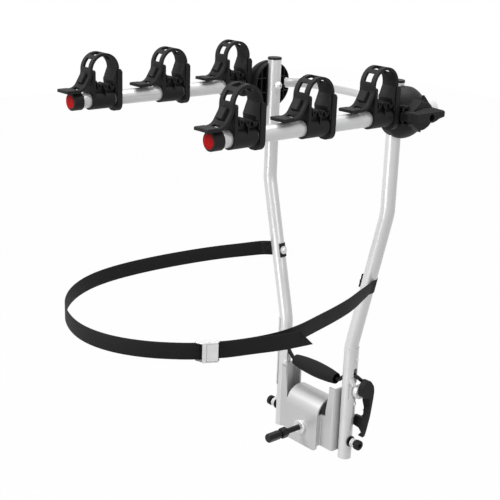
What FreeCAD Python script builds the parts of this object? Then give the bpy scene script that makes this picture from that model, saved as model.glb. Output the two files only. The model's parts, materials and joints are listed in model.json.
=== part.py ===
"""Tow-ball bike rack for three bikes, as separate pieces. Millimetres, +Z up.

The origin is the centre of the tow ball, which is also the height of the axis
that the mast tilts about. The arms point along -Y, away from the car, and the
two uprights stand at the same distance each side of the X = 0 plane.
"""
import FreeCAD, Part
import math
import os

os.makedirs("parts", exist_ok=True)

# Running fit of a pin in its hole, small gap beside a moving piece, fixed seat gap
RUN_FIT = 0.05
SIDE_GAP = 0.5
SEAT_GAP = 0.1

# Tow ball and the saddle that sits over it
BALL_D = 50.0
SADDLE_HALF = 47.0
SADDLE_R = 36.0
SADDLE_CROWN = 38.0
SADDLE_FOOT = -41.0
SHEET = 4.0
SHEET_BEND = 4.0
SADDLE_CORNER = 10.0

# Wings and ears of the bracket, beside the saddle
WING_Y = -22.0
WING_FOOT = -29.0
WING_TOP = 42.0
EAR_TOP = 111.5
EAR_NECK_Z = 98.0
EAR_BACK_Y = 20.0
EAR_WIDTH = 17.0
EAR_TAPER = 6.5

# Tubes of the mast and of the arm frame
TUBE_D = 28.0
TUBE_WALL = 2.0
FOOT_X = 97.5
HEAD_X = 168.0
TUBE_FOOT = -41.0
LOW_BEND_Z = 208.0
HIGH_BEND_Z = 505.0
POST_BEND = 100.0
PLUG_CAP = 4.5
PLUG_SKIRT = 12.0
PLUG_LIP = 1.0

# Pivot bolts at the foot, with their springs
PIVOT_D = 10.0
PIVOT_END_X = 139.0
PIVOT_CAP = 9.0
PIVOT_CAP_D = 21.0
PIVOT_NUT_AF = 16.0
PIVOT_NUT = 8.0
WASHER_D = 23.0
WASHER = 1.5
SPRING_WIRE = 1.8
SPRING_D = 19.0
SPRING_TURNS = 3.5

# Hub of the arm frame and its arms
HUB_Z = 702.0
TUBE_TOP = HUB_Z + 52.5
ARM_X = 202.0
ARM_TIP_Y = -463.0
CROSS_Y = 105.0
ARM_BEND = 70.0
HUB_R = 48.0
HUB_BOSS_R = 21.0
HUB_WALL = 2.5
HUB_RIB = 2.0
HUB_RIB_PITCH = 15.0
HUB_BOLT_D = 10.0
HUB_HEAD_D = 17.0
HUB_HEAD = 7.0
HUB_NUT_AF = 17.0
HUB_NUT = 7.0
CAP_D = 33.0
CAP_LENGTH = 20.0
CAP_FACE = 4.0
REFLECTOR_D = 25.0
REFLECTOR = 2.2

# Locking lever of the right hub
LEVER_PIN_D = 5.0
LEVER_PIN_Y = -40.8
LEVER_EYE_R = 5.2
LEVER_THICK = 10.0
LEVER_FOOT = -10.5
LEVER_CROWN = 16.0
LEVER_HOLE_D = 13.0
NOSE_R = 25.5
NOSE_Y = -5.0
NOSE_Z = 1.0

# Cradles on each arm
CRADLE_PITCH = 159.0
CRADLE_COUNT = 3
CRADLE_LAST_Y = -89.0
CRADLE_HALF = 17.0
SLEEVE_R = 18.0
SLEEVE_FRONT = -22.0
SLEEVE_BACK = 27.0
COLLAR_FRONT = 31.0
COLLAR_BACK = 42.0
COLLAR_DROP = 24.0
TOWER = 6.0
TOWER_TOP = 56.0
HINGE_V = 35.0
HINGE_W = 50.0
HINGE_PIN_D = 4.0
HINGE_EYE_R = 4.6
LUG_IN = 10.5
PAD = 2.2
PAD_HALF = 16.5
BAND = 5.0
BAND_HALF = 17.0
ARCH_R = 29.0
ARCH_V = 4.0
ARCH_W = 55.0
TAIL_W = 20.0
TAIL_END_V = -77.0
TAIL_THICK = 6.0
TAIL_LENGTH = 20.0
HOLE_HALF = 8.5
HOLE_LENGTH = 17.0
BUTTON_HALF = 8.0
BUTTON = 7.0
LAST_LIFT = 5.0

# Handle rod and grip, latch and side plates
ROD_D = 8.0
ROD_Z = 123.5
BAIL_Z = 148.0
ROD_END_X = 118.6
BAIL_IN_X = 69.0
BAIL_OUT_X = 95.0
CRANK_Y = 21.0
CRANK_Z = 130.0
GRIP_HALF = 62.0
GRIP_MID_R = 17.0
GRIP_END_R = 12.0
GRIP_MOUTH_R = 10.3
GRIP_MOUTH = 12.0
PLATE = 2.0
PLATE_FOOT = 55.0
PLATE_TOP = 208.0
PLATE_FRONT = 5.0
PLATE_GAP_LOW = 98.0
PLATE_GAP_HIGH = 131.0
SLOT_WIDTH = 9.0
SLOT_LIFT = 12.5
FLARE = 9.0
FLARE_TOP = 142.0
DRUM_Y = 10.0
DRUM_Z = 112.0
DRUM_R = 15.0
DRUM_PIN_D = 8.0
LATCH_X = 123.4
LATCH_THICK = 12.6
RIVET_D = 6.0
RIVET_HEAD_D = 10.0
RIVET_HEAD = 2.0
RIVET_Z = 182.5
STUD_Z = 84.8
RIVET_TURN = 14.0

# Clamp screw, its nut, the sliding jaw and the fixed cup
SCREW_D = 12.0
SCREW_END_Y = -130.0
DRIVE_LENGTH = 30.0
DRIVE_AF = 17.0
NECK_LENGTH = 6.0
COLLAR_LENGTH = 15.0
COLLAR_AF = 20.0
CLAMP_NUT_D = 31.0
CLAMP_NUT = 7.0
JAW_HALF = 17.0
JAW_LIP_Y = -14.0
JAW_SKIN = 2.0
BALL_GAP = 0.3
CUP_HALF = 28.0
CUP_FRONT_Y = -6.0
CUP_FOOT = -16.0
CUP_TOP = 62.0

# Tie strap of webbing round both uprights, with its cam buckle
STRAP_Z = 353.0
WEB_WIDTH = 30.0
WEB = 1.6
WEB_GAP = 0.4
STRAP_SPLIT_X = 154.0
BUCKLE_LENGTH = 40.0
BUCKLE_SHEET = 1.5
BUCKLE_DEPTH = 10.5
BUCKLE_DRUM_R = 4.9
BUCKLE_ROOM = 0.9
BUCKLE_PIN_D = 3.0
ANCHOR_D = 6.0
ANCHOR_WASHER_D = 17.0
ANCHOR_HEAD_D = 10.0

# Middle of the webbing in plan, from the left upright round the front to the right one
LOOP = [(-150, 5.0), (-163, -2.5), (-175, -54), (-193, -125), (-204, -215), (-206, -300),
        (-201, -375), (-185, -438), (-152, -498), (-100, -548), (-40, -578), (24, -591),
        (88, -580), (146, -546), (192, -496), (225, -436), (239, -388), (245, -345),
        (244, -310), (239.5, -278), (230, -240), (217, -185), (199, -122), (176, -68), (154.4, -21)]
# The buckle sits on the run after this point, and the loose tail leaves the loop after the other one
BUCKLE_POINT = 14
TAIL_POINT = 17
TAIL = [(248.5, -350), (253, -318), (254.5, -268)]
TAIL_SLANT = 35.0

X_AXIS = FreeCAD.Vector(1, 0, 0)
Y_AXIS = FreeCAD.Vector(0, 1, 0)
Z_AXIS = FreeCAD.Vector(0, 0, 1)
ZERO = FreeCAD.Vector(0, 0, 0)


def at(x, y, z=0.0):
    return FreeCAD.Vector(x, y, z)


def save(name, shape):
    """Write one piece, or a group of like pieces, as its own STEP file."""
    solids = shape.Solids
    if not solids or not all(s.isValid() and s.Volume > 0 for s in solids):
        raise ValueError(name + " is not a valid solid")
    if len(solids) == 1:
        solids[0].exportStep("parts/" + name + ".step")
    else:
        Part.makeCompound(solids).exportStep("parts/" + name + ".step")


def box(x0, x1, y0, y1, z0, z1):
    return Part.makeBox(x1 - x0, y1 - y0, z1 - z0, at(x0, y0, z0))


def rod_x(radius, x0, x1, y=0.0, z=0.0):
    return Part.makeCylinder(radius, x1 - x0, at(x0, y, z), X_AXIS)


def rod_y(radius, y0, y1, x=0.0, z=0.0):
    return Part.makeCylinder(radius, y1 - y0, at(x, y0, z), Y_AXIS)


def rod_z(radius, z0, z1, x=0.0, y=0.0):
    return Part.makeCylinder(radius, z1 - z0, at(x, y, z0), Z_AXIS)


def hexagon(across_flats, length, start, direction):
    """A hexagonal bar from start along direction."""
    radius = across_flats / math.sqrt(3)
    corners = [at(radius * math.cos(math.radians(60 * k)), radius * math.sin(math.radians(60 * k)))
               for k in range(7)]
    bar = Part.Face(Part.makePolygon(corners)).extrude(at(0, 0, length))
    bar.Placement = FreeCAD.Placement(start, FreeCAD.Rotation(Z_AXIS, direction))
    return bar


def on_side(shape):
    """Turn a shape drawn in X and Y, thick along Z, to Y and Z, thick along X."""
    turned = shape.copy()
    turned.rotate(ZERO, at(1, 1, 1), 120)
    return turned


def mirrored(shape):
    return shape.mirror(ZERO, X_AXIS)


def moved(shape, x, y, z):
    copy = shape.copy()
    copy.translate(at(x, y, z))
    return copy


def polygon(points, start, end):
    """A flat outline in X and Y, thick from start to end along Z."""
    corners = [at(x, y, start) for x, y in points]
    face = Part.Face(Part.makePolygon(corners + corners[:1]))
    return face.extrude(at(0, 0, end - start))


def round_corner(before, corner, after, radius):
    """Tangent points and middle of an arc that rounds a corner."""
    back = before.sub(corner)
    ahead = after.sub(corner)
    back.normalize()
    ahead.normalize()
    turn = math.pi - back.getAngle(ahead)
    reach = radius * math.tan(turn / 2)
    middle_line = back.add(ahead)
    middle_line.normalize()
    depth = radius / math.cos(turn / 2) - radius
    return corner + back * reach, corner + middle_line * depth, corner + ahead * reach


def soft_radius(before, corner, after):
    """The radius that its two runs allow: 0.45 of the shorter over half the turn's tangent."""
    back = before.sub(corner)
    ahead = after.sub(corner)
    turn = math.pi - back.getAngle(ahead)
    return 0.45 * min(back.Length, ahead.Length) / math.tan(turn / 2)


def rounded_runs(points, radii):
    """Straight runs and arcs through points, as (start, end) and (start, middle, end)."""
    runs = []
    last = points[0]
    for k in range(1, len(points) - 1):
        radius = radii[k - 1] if radii else soft_radius(points[k - 1], points[k], points[k + 1])
        first, middle, second = round_corner(points[k - 1], points[k], points[k + 1], radius)
        if first.sub(last).Length > 0.01:
            runs.append((last, first))
        runs.append((first, middle, second))
        last = second
    if points[-1].sub(last).Length > 0.01:
        runs.append((last, points[-1]))
    return runs


def edge_of(run):
    if len(run) == 2:
        return Part.LineSegment(run[0], run[1]).toShape()
    return Part.Arc(run[0], run[1], run[2]).toShape()


def swept(points, radii, radius):
    """A round bar along straight runs joined by tangent arcs."""
    spine = Part.Wire([edge_of(run) for run in rounded_runs(points, radii)])
    ahead = points[1].sub(points[0])
    ring = Part.Wire([Part.makeCircle(radius, points[0], ahead)])
    return spine.makePipeShell([ring], True, False)


def band_face(points, radii, low, high):
    """A strip in X and Y beside a path: from low to high, measured to the left of its way."""
    runs = rounded_runs([at(x, y) for x, y in points], radii)

    def left_of(direction):
        return at(-direction.y, direction.x).normalize()

    def normals(run):
        if len(run) == 2:
            side = left_of(run[1].sub(run[0]))
            return [side, side]
        centre = edge_of(run).Curve.Center
        turn_left = left_of(run[1].sub(run[0])).dot(centre.sub(run[0])) > 0
        sign = 1 if turn_left else -1
        return [centre.sub(p).normalize() * sign for p in run]

    sides = [normals(run) for run in runs]

    def shifted(amount):
        chain = []
        for run, side in zip(runs, sides):
            chain.append(tuple(p + n * amount for p, n in zip(run, side)))
        return chain

    right, left = shifted(low), shifted(high)
    edges = [edge_of(run) for run in right]
    edges.append(edge_of((right[-1][-1], left[-1][-1])))
    edges += [edge_of(tuple(reversed(run))) for run in reversed(left)]
    edges.append(edge_of((left[0][0], right[0][0])))
    return Part.Face(Part.Wire(edges))


def band(points, radii, thickness, start, end):
    """A strip of even thickness centred on its path, from start to end along Z."""
    face = band_face(points, radii, -thickness / 2, thickness / 2)
    face.translate(at(0, 0, start))
    return face.extrude(at(0, 0, end - start))


def rounded_edges(shape, radius, wanted):
    """Round the edges that wanted() picks, by their middle point."""
    picked = [e for e in shape.Edges if wanted(e)]
    return shape.makeFillet(radius, picked)


# Bracket: a saddle of bent sheet, with a wing and an ear channel each side
TUBE_R = TUBE_D / 2
TUBE_BORE = TUBE_R - TUBE_WALL
PIVOT_R = PIVOT_D / 2
EAR_X = FOOT_X - TUBE_R - 1.0
EAR_MID = EAR_X - SHEET / 2
SADDLE_MID = SADDLE_R - SHEET / 2
SCREW_R = SCREW_D / 2


def saddle():
    crown = SADDLE_CROWN + SADDLE_MID
    path = [(-SADDLE_MID, SADDLE_FOOT), (-SADDLE_MID, crown), (SADDLE_MID, crown), (SADDLE_MID, SADDLE_FOOT)]
    arch = on_side(band(path, [SADDLE_MID, SADDLE_MID], SHEET, -SADDLE_HALF, SADDLE_HALF))
    trim = box(-SADDLE_HALF, SADDLE_HALF, -SADDLE_R, SADDLE_R, SADDLE_FOOT, crown + SHEET)
    trim = rounded_edges(trim, SADDLE_CORNER,
                         lambda e: abs(abs(e.CenterOfMass.x) - SADDLE_HALF) < 0.1
                         and abs(e.CenterOfMass.z - SADDLE_FOOT) < 0.1 and abs(e.CenterOfMass.y) < 0.1)
    return arch.common(trim)


def ear():
    """Wing, side and back flange of the right-hand ear."""
    inner = SADDLE_HALF - SHEET / 2
    low_path = [(inner - 2 * SHEET, -SADDLE_MID), (inner, -SADDLE_MID), (inner, WING_Y),
                (EAR_MID, WING_Y), (EAR_MID, EAR_BACK_Y), (EAR_X - EAR_WIDTH, EAR_BACK_Y)]
    low = band(low_path, [SHEET_BEND] * 4, SHEET, WING_FOOT, WING_TOP)
    edge_x = EAR_X - EAR_WIDTH - EAR_TAPER
    high_path = [(edge_x, WING_Y), (EAR_MID, WING_Y), (EAR_MID, EAR_BACK_Y),
                 (EAR_X - EAR_WIDTH, EAR_BACK_Y)]
    high = band(high_path, [SHEET_BEND] * 2, SHEET, WING_TOP - SHEET, EAR_TOP)
    # The front flange narrows towards its top, to let the grip swing past
    wedge = polygon([(edge_x - 1, EAR_TOP + 1), (edge_x + EAR_TAPER, EAR_TOP + 1),
                     (edge_x + EAR_TAPER, EAR_NECK_Z), (edge_x, WING_TOP + 14), (edge_x - 1, WING_TOP + 14)],
                    -SHEET, SHEET)
    wedge.rotate(ZERO, X_AXIS, 90)
    wedge.translate(at(0, WING_Y, 0))
    return low.fuse(high.cut(wedge))


def bracket():
    body = saddle().fuse([ear(), mirrored(ear())])
    body = body.cut(rod_y(SCREW_R + 1.0, -SADDLE_R - 1, -SADDLE_R + SHEET + 1))
    for side in (-1, 1):
        body = body.cut(rod_x(PIVOT_R + SEAT_GAP, min(side * EAR_X, side * (EAR_X - SHEET)) - 1,
                              max(side * EAR_X, side * (EAR_X - SHEET)) + 1))
    return body.removeSplitter()


save("saddle_bracket", bracket())


# Ball cup, clamp jaw, nut and screw
BALL_R = BALL_D / 2
INNER_R = SADDLE_R - SHEET


def ball_cup():
    block = box(-CUP_HALF, CUP_HALF, CUP_FRONT_Y, INNER_R - SEAT_GAP, CUP_FOOT, CUP_TOP)
    room = rod_x(INNER_R - SEAT_GAP, -CUP_HALF, CUP_HALF, 0, SADDLE_CROWN)
    room = room.fuse(box(-CUP_HALF, CUP_HALF, -INNER_R, INNER_R - SEAT_GAP, CUP_FOOT, SADDLE_CROWN))
    seat = Part.makeSphere(BALL_R + BALL_GAP)
    neck = rod_z(BALL_R + BALL_GAP, CUP_FOOT - 1, 0)
    return block.common(room).cut(seat.fuse(neck))


def clamp_jaw():
    back = -BALL_R - BALL_GAP - JAW_SKIN
    block = box(-JAW_HALF, JAW_HALF, back, JAW_LIP_Y, -JAW_HALF, JAW_HALF)
    block = rounded_edges(block, 4.0, lambda e: abs(e.tangentAt(e.FirstParameter).y) > 0.9)
    return block.cut(Part.makeSphere(BALL_R + BALL_GAP))


def clamp_nut():
    nut = rod_y(CLAMP_NUT_D / 2, -SADDLE_R - CLAMP_NUT, -SADDLE_R)
    nut = rounded_edges(nut, 1.8, lambda e: abs(e.CenterOfMass.y + SADDLE_R + CLAMP_NUT) < 0.1)
    return nut.cut(rod_y(SCREW_R + RUN_FIT, -SADDLE_R - CLAMP_NUT - 1, -SADDLE_R + 1))


def clamp_screw():
    tip = -BALL_R - BALL_GAP - JAW_SKIN - SEAT_GAP
    neck_y = SCREW_END_Y + DRIVE_LENGTH
    collar_y = neck_y + NECK_LENGTH
    shaft = rod_y(SCREW_R, collar_y, tip)
    collar = hexagon(COLLAR_AF, COLLAR_LENGTH, at(0, collar_y, 0), Y_AXIS)
    collar = collar.common(Part.makeCone(COLLAR_AF / 2, COLLAR_AF / 2 + COLLAR_LENGTH, COLLAR_LENGTH,
                                         at(0, collar_y, 0), Y_AXIS))
    neck = rod_y(SCREW_R + 1, neck_y, collar_y)
    drive = hexagon(DRIVE_AF, DRIVE_LENGTH, at(0, SCREW_END_Y, 0), Y_AXIS)
    drive = drive.common(Part.makeCone(DRIVE_AF / 2, DRIVE_AF / 2 + DRIVE_LENGTH, DRIVE_LENGTH,
                                       at(0, SCREW_END_Y, 0), Y_AXIS))
    return shaft.fuse([collar, neck, drive]).removeSplitter()


save("ball_cup", ball_cup())
save("clamp_jaw", clamp_jaw())
save("clamp_nut", clamp_nut())
save("clamp_screw", clamp_screw())


# Mast: two bent tubes, their caps, side plates and bolts
POST_PATH = [at(FOOT_X, 0, TUBE_FOOT), at(FOOT_X, 0, LOW_BEND_Z), at(HEAD_X, 0, HIGH_BEND_Z),
             at(HEAD_X, 0, TUBE_TOP)]
POST_RADII = [POST_BEND, POST_BEND]
ROD_R = ROD_D / 2
SLOT_LOW = BAIL_Z - ROD_R - SIDE_GAP
SLOT_HIGH = BAIL_Z + ROD_R + SLOT_LIFT


def post_bar(radius):
    return swept(POST_PATH, POST_RADII, radius)


def post_x(height):
    """Distance of a tube's axis from the middle, at a height between its bends."""
    share = (height - LOW_BEND_Z) / (HIGH_BEND_Z - LOW_BEND_Z)
    return FOOT_X + (HEAD_X - FOOT_X) * min(1.0, max(0.0, share))


def slot(x0, x1, low, high):
    """A slot along X with round ends."""
    radius = SLOT_WIDTH / 2
    body = box(x0, x1, -radius, radius, low + radius, high - radius)
    return body.fuse([rod_x(radius, x0, x1, 0, low + radius), rod_x(radius, x0, x1, 0, high - radius)])


HUB_BOLT_R = HUB_BOLT_D / 2
RIVET_R = RIVET_D / 2


def round_tube(shape):
    """Turn a rivet or its hole a little round the foot of the tube, towards the car."""
    copy = shape.copy()
    copy.rotate(at(FOOT_X, 0, 0), Z_AXIS, RIVET_TURN)
    return copy


def upright():
    tube = post_bar(TUBE_R).cut(post_bar(TUBE_BORE))
    tube = tube.cut(rod_x(PIVOT_R + RUN_FIT, FOOT_X - TUBE_R - 1, FOOT_X + TUBE_R + 1))
    tube = tube.cut(rod_x(HUB_BOLT_R + SEAT_GAP, HEAD_X - TUBE_R - 1, HEAD_X + TUBE_R + 1, 0, HUB_Z))
    inner_low = BAIL_Z - ROD_R - SIDE_GAP - 14
    tube = tube.cut(slot(FOOT_X - TUBE_R - 1, FOOT_X, inner_low, SLOT_HIGH))
    tube = tube.cut(slot(FOOT_X, FOOT_X + TUBE_R + 1, SLOT_LOW, SLOT_HIGH))
    for height in (RIVET_Z, STUD_Z):
        hole = rod_x(RIVET_R + SEAT_GAP, FOOT_X + TUBE_BORE - 3, FOOT_X + TUBE_R + 1, 0, height)
        tube = tube.cut(round_tube(hole))
    pin = DRUM_PIN_D / 2 + SEAT_GAP
    return tube.cut(rod_x(pin, FOOT_X, FOOT_X + TUBE_R + 1, DRUM_Y - 4, DRUM_Z))


def top_cap():
    plug = rod_z(TUBE_R + PLUG_LIP / 2, TUBE_TOP, TUBE_TOP + PLUG_CAP, HEAD_X)
    plug = rounded_edges(plug, 1.5, lambda e: abs(e.CenterOfMass.z - TUBE_TOP - PLUG_CAP) < 0.1)
    skirt = rod_z(TUBE_BORE - SEAT_GAP, TUBE_TOP - PLUG_SKIRT, TUBE_TOP, HEAD_X)
    hollow = rod_z(TUBE_BORE - 2.5, TUBE_TOP - PLUG_SKIRT - 1, TUBE_TOP, HEAD_X)
    return plug.fuse(skirt.cut(hollow)).removeSplitter()


def side_plate():
    """Half sleeve on the outer side of a tube, open round the latch drum."""
    outer = TUBE_R + PLATE + 0.1
    sleeve = post_bar(outer).cut(post_bar(TUBE_R + 0.1))
    kept = box(FOOT_X + PLATE_FRONT, FOOT_X + 40, -outer - 1, outer + 1, PLATE_FOOT, PLATE_TOP)
    sleeve = sleeve.common(kept)
    gap = box(FOOT_X + PLATE_FRONT - 1, FOOT_X + 40, -outer + 4, outer + 2, PLATE_GAP_LOW, PLATE_GAP_HIGH)
    sleeve = sleeve.cut(gap)
    # Under the rod slot the sleeve is pressed outwards to a sloping lip
    foot, top = PLATE_GAP_HIGH, FLARE_TOP
    wall = PLATE * 1.25
    x = FOOT_X + outer - 0.6
    lip = polygon([(x, top + 4), (x + FLARE, foot), (x + FLARE - 2, foot - 2), (x - wall, top - 2)],
                  5.0, 13.0)
    lip.rotate(ZERO, X_AXIS, 90)
    sleeve = sleeve.fuse(lip).cut(post_bar(TUBE_R + 0.1))
    sleeve = sleeve.cut(slot(FOOT_X, FOOT_X + 40, SLOT_LOW, SLOT_HIGH))
    for height in (RIVET_Z, STUD_Z):
        sleeve = sleeve.cut(round_tube(rod_x(RIVET_R + SEAT_GAP, FOOT_X, FOOT_X + 40, 0, height)))
    return sleeve.removeSplitter()


def dome(radius, height, base_x, y, z):
    """A low domed head whose flat faces -X, with its back on base_x."""
    ball_r = (radius * radius + height * height) / (2 * height)
    ball = Part.makeSphere(ball_r, at(base_x + height - ball_r, y, z))
    return ball.common(rod_x(radius, base_x, base_x + height + 0.1, y, z))


PLATE_FACE = FOOT_X + TUBE_R + PLATE + 0.1


def rivet(height):
    shank = rod_x(RIVET_R, FOOT_X + TUBE_BORE - 2, PLATE_FACE + 1, 0, height)
    head = dome(RIVET_HEAD_D / 2, RIVET_HEAD, PLATE_FACE, 0, height)
    return round_tube(shank.fuse(head).removeSplitter())


def hub_bolt():
    head_x = HEAD_X - TUBE_R
    shaft = rod_x(HUB_BOLT_R, head_x - 1, ARM_X + HUB_REACH - 2, 0, HUB_Z)
    head = mirrored(dome(HUB_HEAD_D / 2, HUB_HEAD, -head_x, 0, HUB_Z))
    socket = hexagon(6.0, 4.0, at(head_x - HUB_HEAD - 0.5, 0, HUB_Z), X_AXIS)
    # A washer shaped to the tube fills the space behind the flat of the head
    saddle_washer = rod_x(HUB_HEAD_D / 2, head_x, head_x + 4, 0, HUB_Z).cut(post_bar(TUBE_R + 0.05))
    return shaft.fuse([head, saddle_washer]).cut(socket).removeSplitter()


HUB_REACH = 38.0
HUB_NUT_X = ARM_X + HUB_REACH - 3.0 - HUB_NUT


def hub_nut():
    nut = hexagon(HUB_NUT_AF, HUB_NUT, at(HUB_NUT_X, 0, HUB_Z), X_AXIS)
    return nut.cut(rod_x(HUB_BOLT_R + RUN_FIT, HUB_NUT_X - 1, HUB_NUT_X + HUB_NUT + 1, 0, HUB_Z))


def latch_drum():
    """Disc and pin that the latch turns on, screwed to the right upright."""
    start = FOOT_X + TUBE_R - 1.0
    stem = rod_x(DRUM_PIN_D / 2, FOOT_X + TUBE_BORE - 1, start + 4, DRUM_Y - 4, DRUM_Z)
    disc = rod_x(DRUM_R, PLATE_FACE + 0.4, LATCH_X - 0.4, DRUM_Y, DRUM_Z)
    disc = rounded_edges(disc, 1.0, lambda e: abs(e.CenterOfMass.x - LATCH_X + 0.4) < 0.1)
    foot = rod_x(DRUM_R - 5, start - 2, PLATE_FACE + 1, DRUM_Y - 2, DRUM_Z).cut(post_bar(TUBE_R + 0.1))
    pin = rod_x(DRUM_PIN_D / 2, LATCH_X - 1, LATCH_X + 9.0, DRUM_Y, DRUM_Z)
    # The latch snaps over this ring on the pin
    ring = rod_x(DRUM_PIN_D / 2 + 0.6, LATCH_X + 6.0, LATCH_X + 7.5, DRUM_Y, DRUM_Z)
    return disc.fuse([stem, foot, pin, ring]).removeSplitter()


def plate_screw():
    """Low-headed screw that holds the foot of a side plate."""
    head = dome(RIVET_HEAD_D / 2, RIVET_HEAD + 1, PLATE_FACE, 0, STUD_Z)
    head = head.cut(hexagon(4.0, 3.0, at(PLATE_FACE + RIVET_HEAD - 0.5, 0, STUD_Z), X_AXIS))
    stud = rod_x(RIVET_R, FOOT_X + TUBE_BORE - 2, PLATE_FACE + 1, 0, STUD_Z)
    return round_tube(head.fuse(stud).removeSplitter())


GUIDE_FOOT = 113.5
GUIDE_TOP = 147.0
GUIDE_INNER_X = 66.0
GUIDE_BOLT_X = 71.0
GUIDE_BOLT_Z = 121.0
GUIDE_BOLT_R = 2.0


def rod_guide():
    """Folded plate on the left upright, in front of the handle rod; drawn for the right."""
    touch_x = FOOT_X - 10.0
    touch_y = -math.sqrt(TUBE_R ** 2 - 10.0 ** 2)
    path = [(GUIDE_INNER_X, WING_Y), (touch_x - 5, WING_Y), (touch_x + 2, touch_y + 1)]
    plate = band(path, [3.0], 2.5, GUIDE_FOOT, GUIDE_TOP)
    plate = plate.cut(post_bar(TUBE_R + 0.05))
    return plate.cut(rod_y(GUIDE_BOLT_R + SEAT_GAP, WING_Y - 5, WING_Y + 5, GUIDE_BOLT_X, GUIDE_BOLT_Z))


def guide_bolt():
    front = WING_Y - 1.25
    head = rod_y(2 * GUIDE_BOLT_R, front - 2.5, front, GUIDE_BOLT_X, GUIDE_BOLT_Z)
    head = rounded_edges(head, 1.2, lambda e: abs(e.CenterOfMass.y - front + 2.5) < 0.1)
    shank = rod_y(GUIDE_BOLT_R, front - 1, front + 7, GUIDE_BOLT_X, GUIDE_BOLT_Z)
    nut = hexagon(7.0, 3.0, at(GUIDE_BOLT_X, front + 2.5, GUIDE_BOLT_Z), Y_AXIS)
    return head.fuse([shank, nut]).removeSplitter()


save("rod_guide", mirrored(rod_guide()))
save("guide_bolt", mirrored(guide_bolt()))
save("right_top_cap", top_cap())
save("left_top_cap", mirrored(top_cap()))
save("right_side_plate", side_plate())
save("left_side_plate", mirrored(side_plate()))
save("plate_rivets", Part.makeCompound([rivet(RIVET_Z), mirrored(rivet(RIVET_Z))]))
save("plate_screws", Part.makeCompound([plate_screw(), mirrored(plate_screw())]))
save("latch_drum", latch_drum())
save("hub_bolts", Part.makeCompound([hub_bolt(), mirrored(hub_bolt())]))
save("hub_nuts", Part.makeCompound([hub_nut(), mirrored(hub_nut())]))


# Pivot bolts, caps, washers and springs at the foot
WASHER_X = FOOT_X + TUBE_R + 0.4
SPRING_X = WASHER_X + WASHER
CAP_X = PIVOT_END_X - PIVOT_CAP


def pivot_bolt():
    shaft = rod_x(PIVOT_R, EAR_X - SHEET - PIVOT_NUT - 2, CAP_X + 3)
    nut = hexagon(PIVOT_NUT_AF, PIVOT_NUT, at(EAR_X - SHEET - PIVOT_NUT, 0, 0), X_AXIS)
    washer = rod_x(WASHER_D / 2, WASHER_X, WASHER_X + WASHER)
    return shaft.fuse([nut, washer]).removeSplitter()


def pivot_cap():
    cap = rod_x(PIVOT_CAP_D / 2, CAP_X, PIVOT_END_X)
    cap = rounded_edges(cap, 1.5, lambda e: abs(e.CenterOfMass.x - PIVOT_END_X) < 0.1)
    cap = cap.cut(hexagon(8.0, 5.0, at(PIVOT_END_X - 4.0, 0, 0), X_AXIS))
    return cap.cut(rod_x(PIVOT_R + SEAT_GAP, CAP_X - 1, CAP_X + 3 + SEAT_GAP))


def biarc(start, start_way, end, end_way):
    """Two tangent arcs from start to end, with equal tangent lengths."""
    gap = end.sub(start)
    both = start_way.add(end_way)
    spread = 2 * (1 - start_way.dot(end_way))
    across = gap.dot(both)
    reach = (math.sqrt(across * across + spread * gap.dot(gap)) - across) / spread
    first = start + start_way * reach
    second = end - end_way * reach
    joint = (first + second) * 0.5
    runs = []
    for a, corner, b in ((start, first, joint), (joint, second, end)):
        half = (math.pi - a.sub(corner).getAngle(b.sub(corner))) / 2
        runs.append(round_corner(a, corner, b, reach / math.tan(half)))
    return runs


def spring():
    """Compression spring of one wire from the washer to the cap, with straight ends."""
    radius = (SPRING_D - SPRING_WIRE) / 2
    bend = 1.4 * SPRING_WIRE
    low = SPRING_X + SPRING_WIRE + bend
    high = CAP_X - SPRING_WIRE - bend
    pitch = (high - low) / SPRING_TURNS

    def point(turn):
        angle = 2 * math.pi * turn
        return at(low + pitch * turn, radius * math.cos(angle), radius * math.sin(angle))

    def way(turn):
        angle = 2 * math.pi * turn
        step = 2 * math.pi * radius
        return at(pitch, -step * math.sin(angle), step * math.cos(angle)).normalize()

    first, last = point(0), point(SPRING_TURNS)
    # Each end bends out of the coil to run straight along the bolt
    start = first - X_AXIS * bend - way(0) * bend
    finish = last + X_AXIS * bend + way(SPRING_TURNS) * bend
    runs = [(at(SPRING_X, start.y, start.z), start)]
    runs += biarc(start, X_AXIS, first, way(0))
    steps = int(round(SPRING_TURNS * 4))
    for k in range(steps):
        a, b = k / 4, (k + 1) / 4
        runs += biarc(point(a), way(a), point(b), way(b))
    runs += biarc(last, way(SPRING_TURNS), finish, X_AXIS)
    runs.append((finish, at(CAP_X, finish.y, finish.z)))
    wire = Part.Wire([edge_of(run) for run in runs])
    ring = Part.Wire([Part.makeCircle(SPRING_WIRE / 2, runs[0][0], X_AXIS)])
    coil = wire.makePipeShell([ring], True, False)
    print("spring: least gap between turns", round(least_gap(wire, SPRING_WIRE), 2), "mm")
    return coil


def least_gap(wire, wire_d):
    """Least clear distance of a bent wire to itself, leaving out its near neighbours."""
    points = []
    along = 0.0
    for edge in wire.Edges:
        for k in range(8):
            step = edge.getParameterByLength(edge.Length * k / 8)
            points.append((along + edge.Length * k / 8, edge.valueAt(step)))
        along += edge.Length
    least = 1e9
    for i, (here, a) in enumerate(points):
        for there, b in points[i + 1:]:
            if there - here > math.pi * wire_d * 2:
                least = min(least, a.sub(b).Length - wire_d)
    return least


def turned_round(shape):
    """The same piece on the left, turned half round the Z axis."""
    copy = shape.copy()
    copy.rotate(ZERO, Z_AXIS, 180)
    return copy


save("pivot_bolts", Part.makeCompound([pivot_bolt(), mirrored(pivot_bolt())]))
save("pivot_bolt_caps", Part.makeCompound([pivot_cap(), mirrored(pivot_cap())]))
COIL = spring()
save("pivot_springs", Part.makeCompound([COIL, turned_round(COIL)]))


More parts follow.
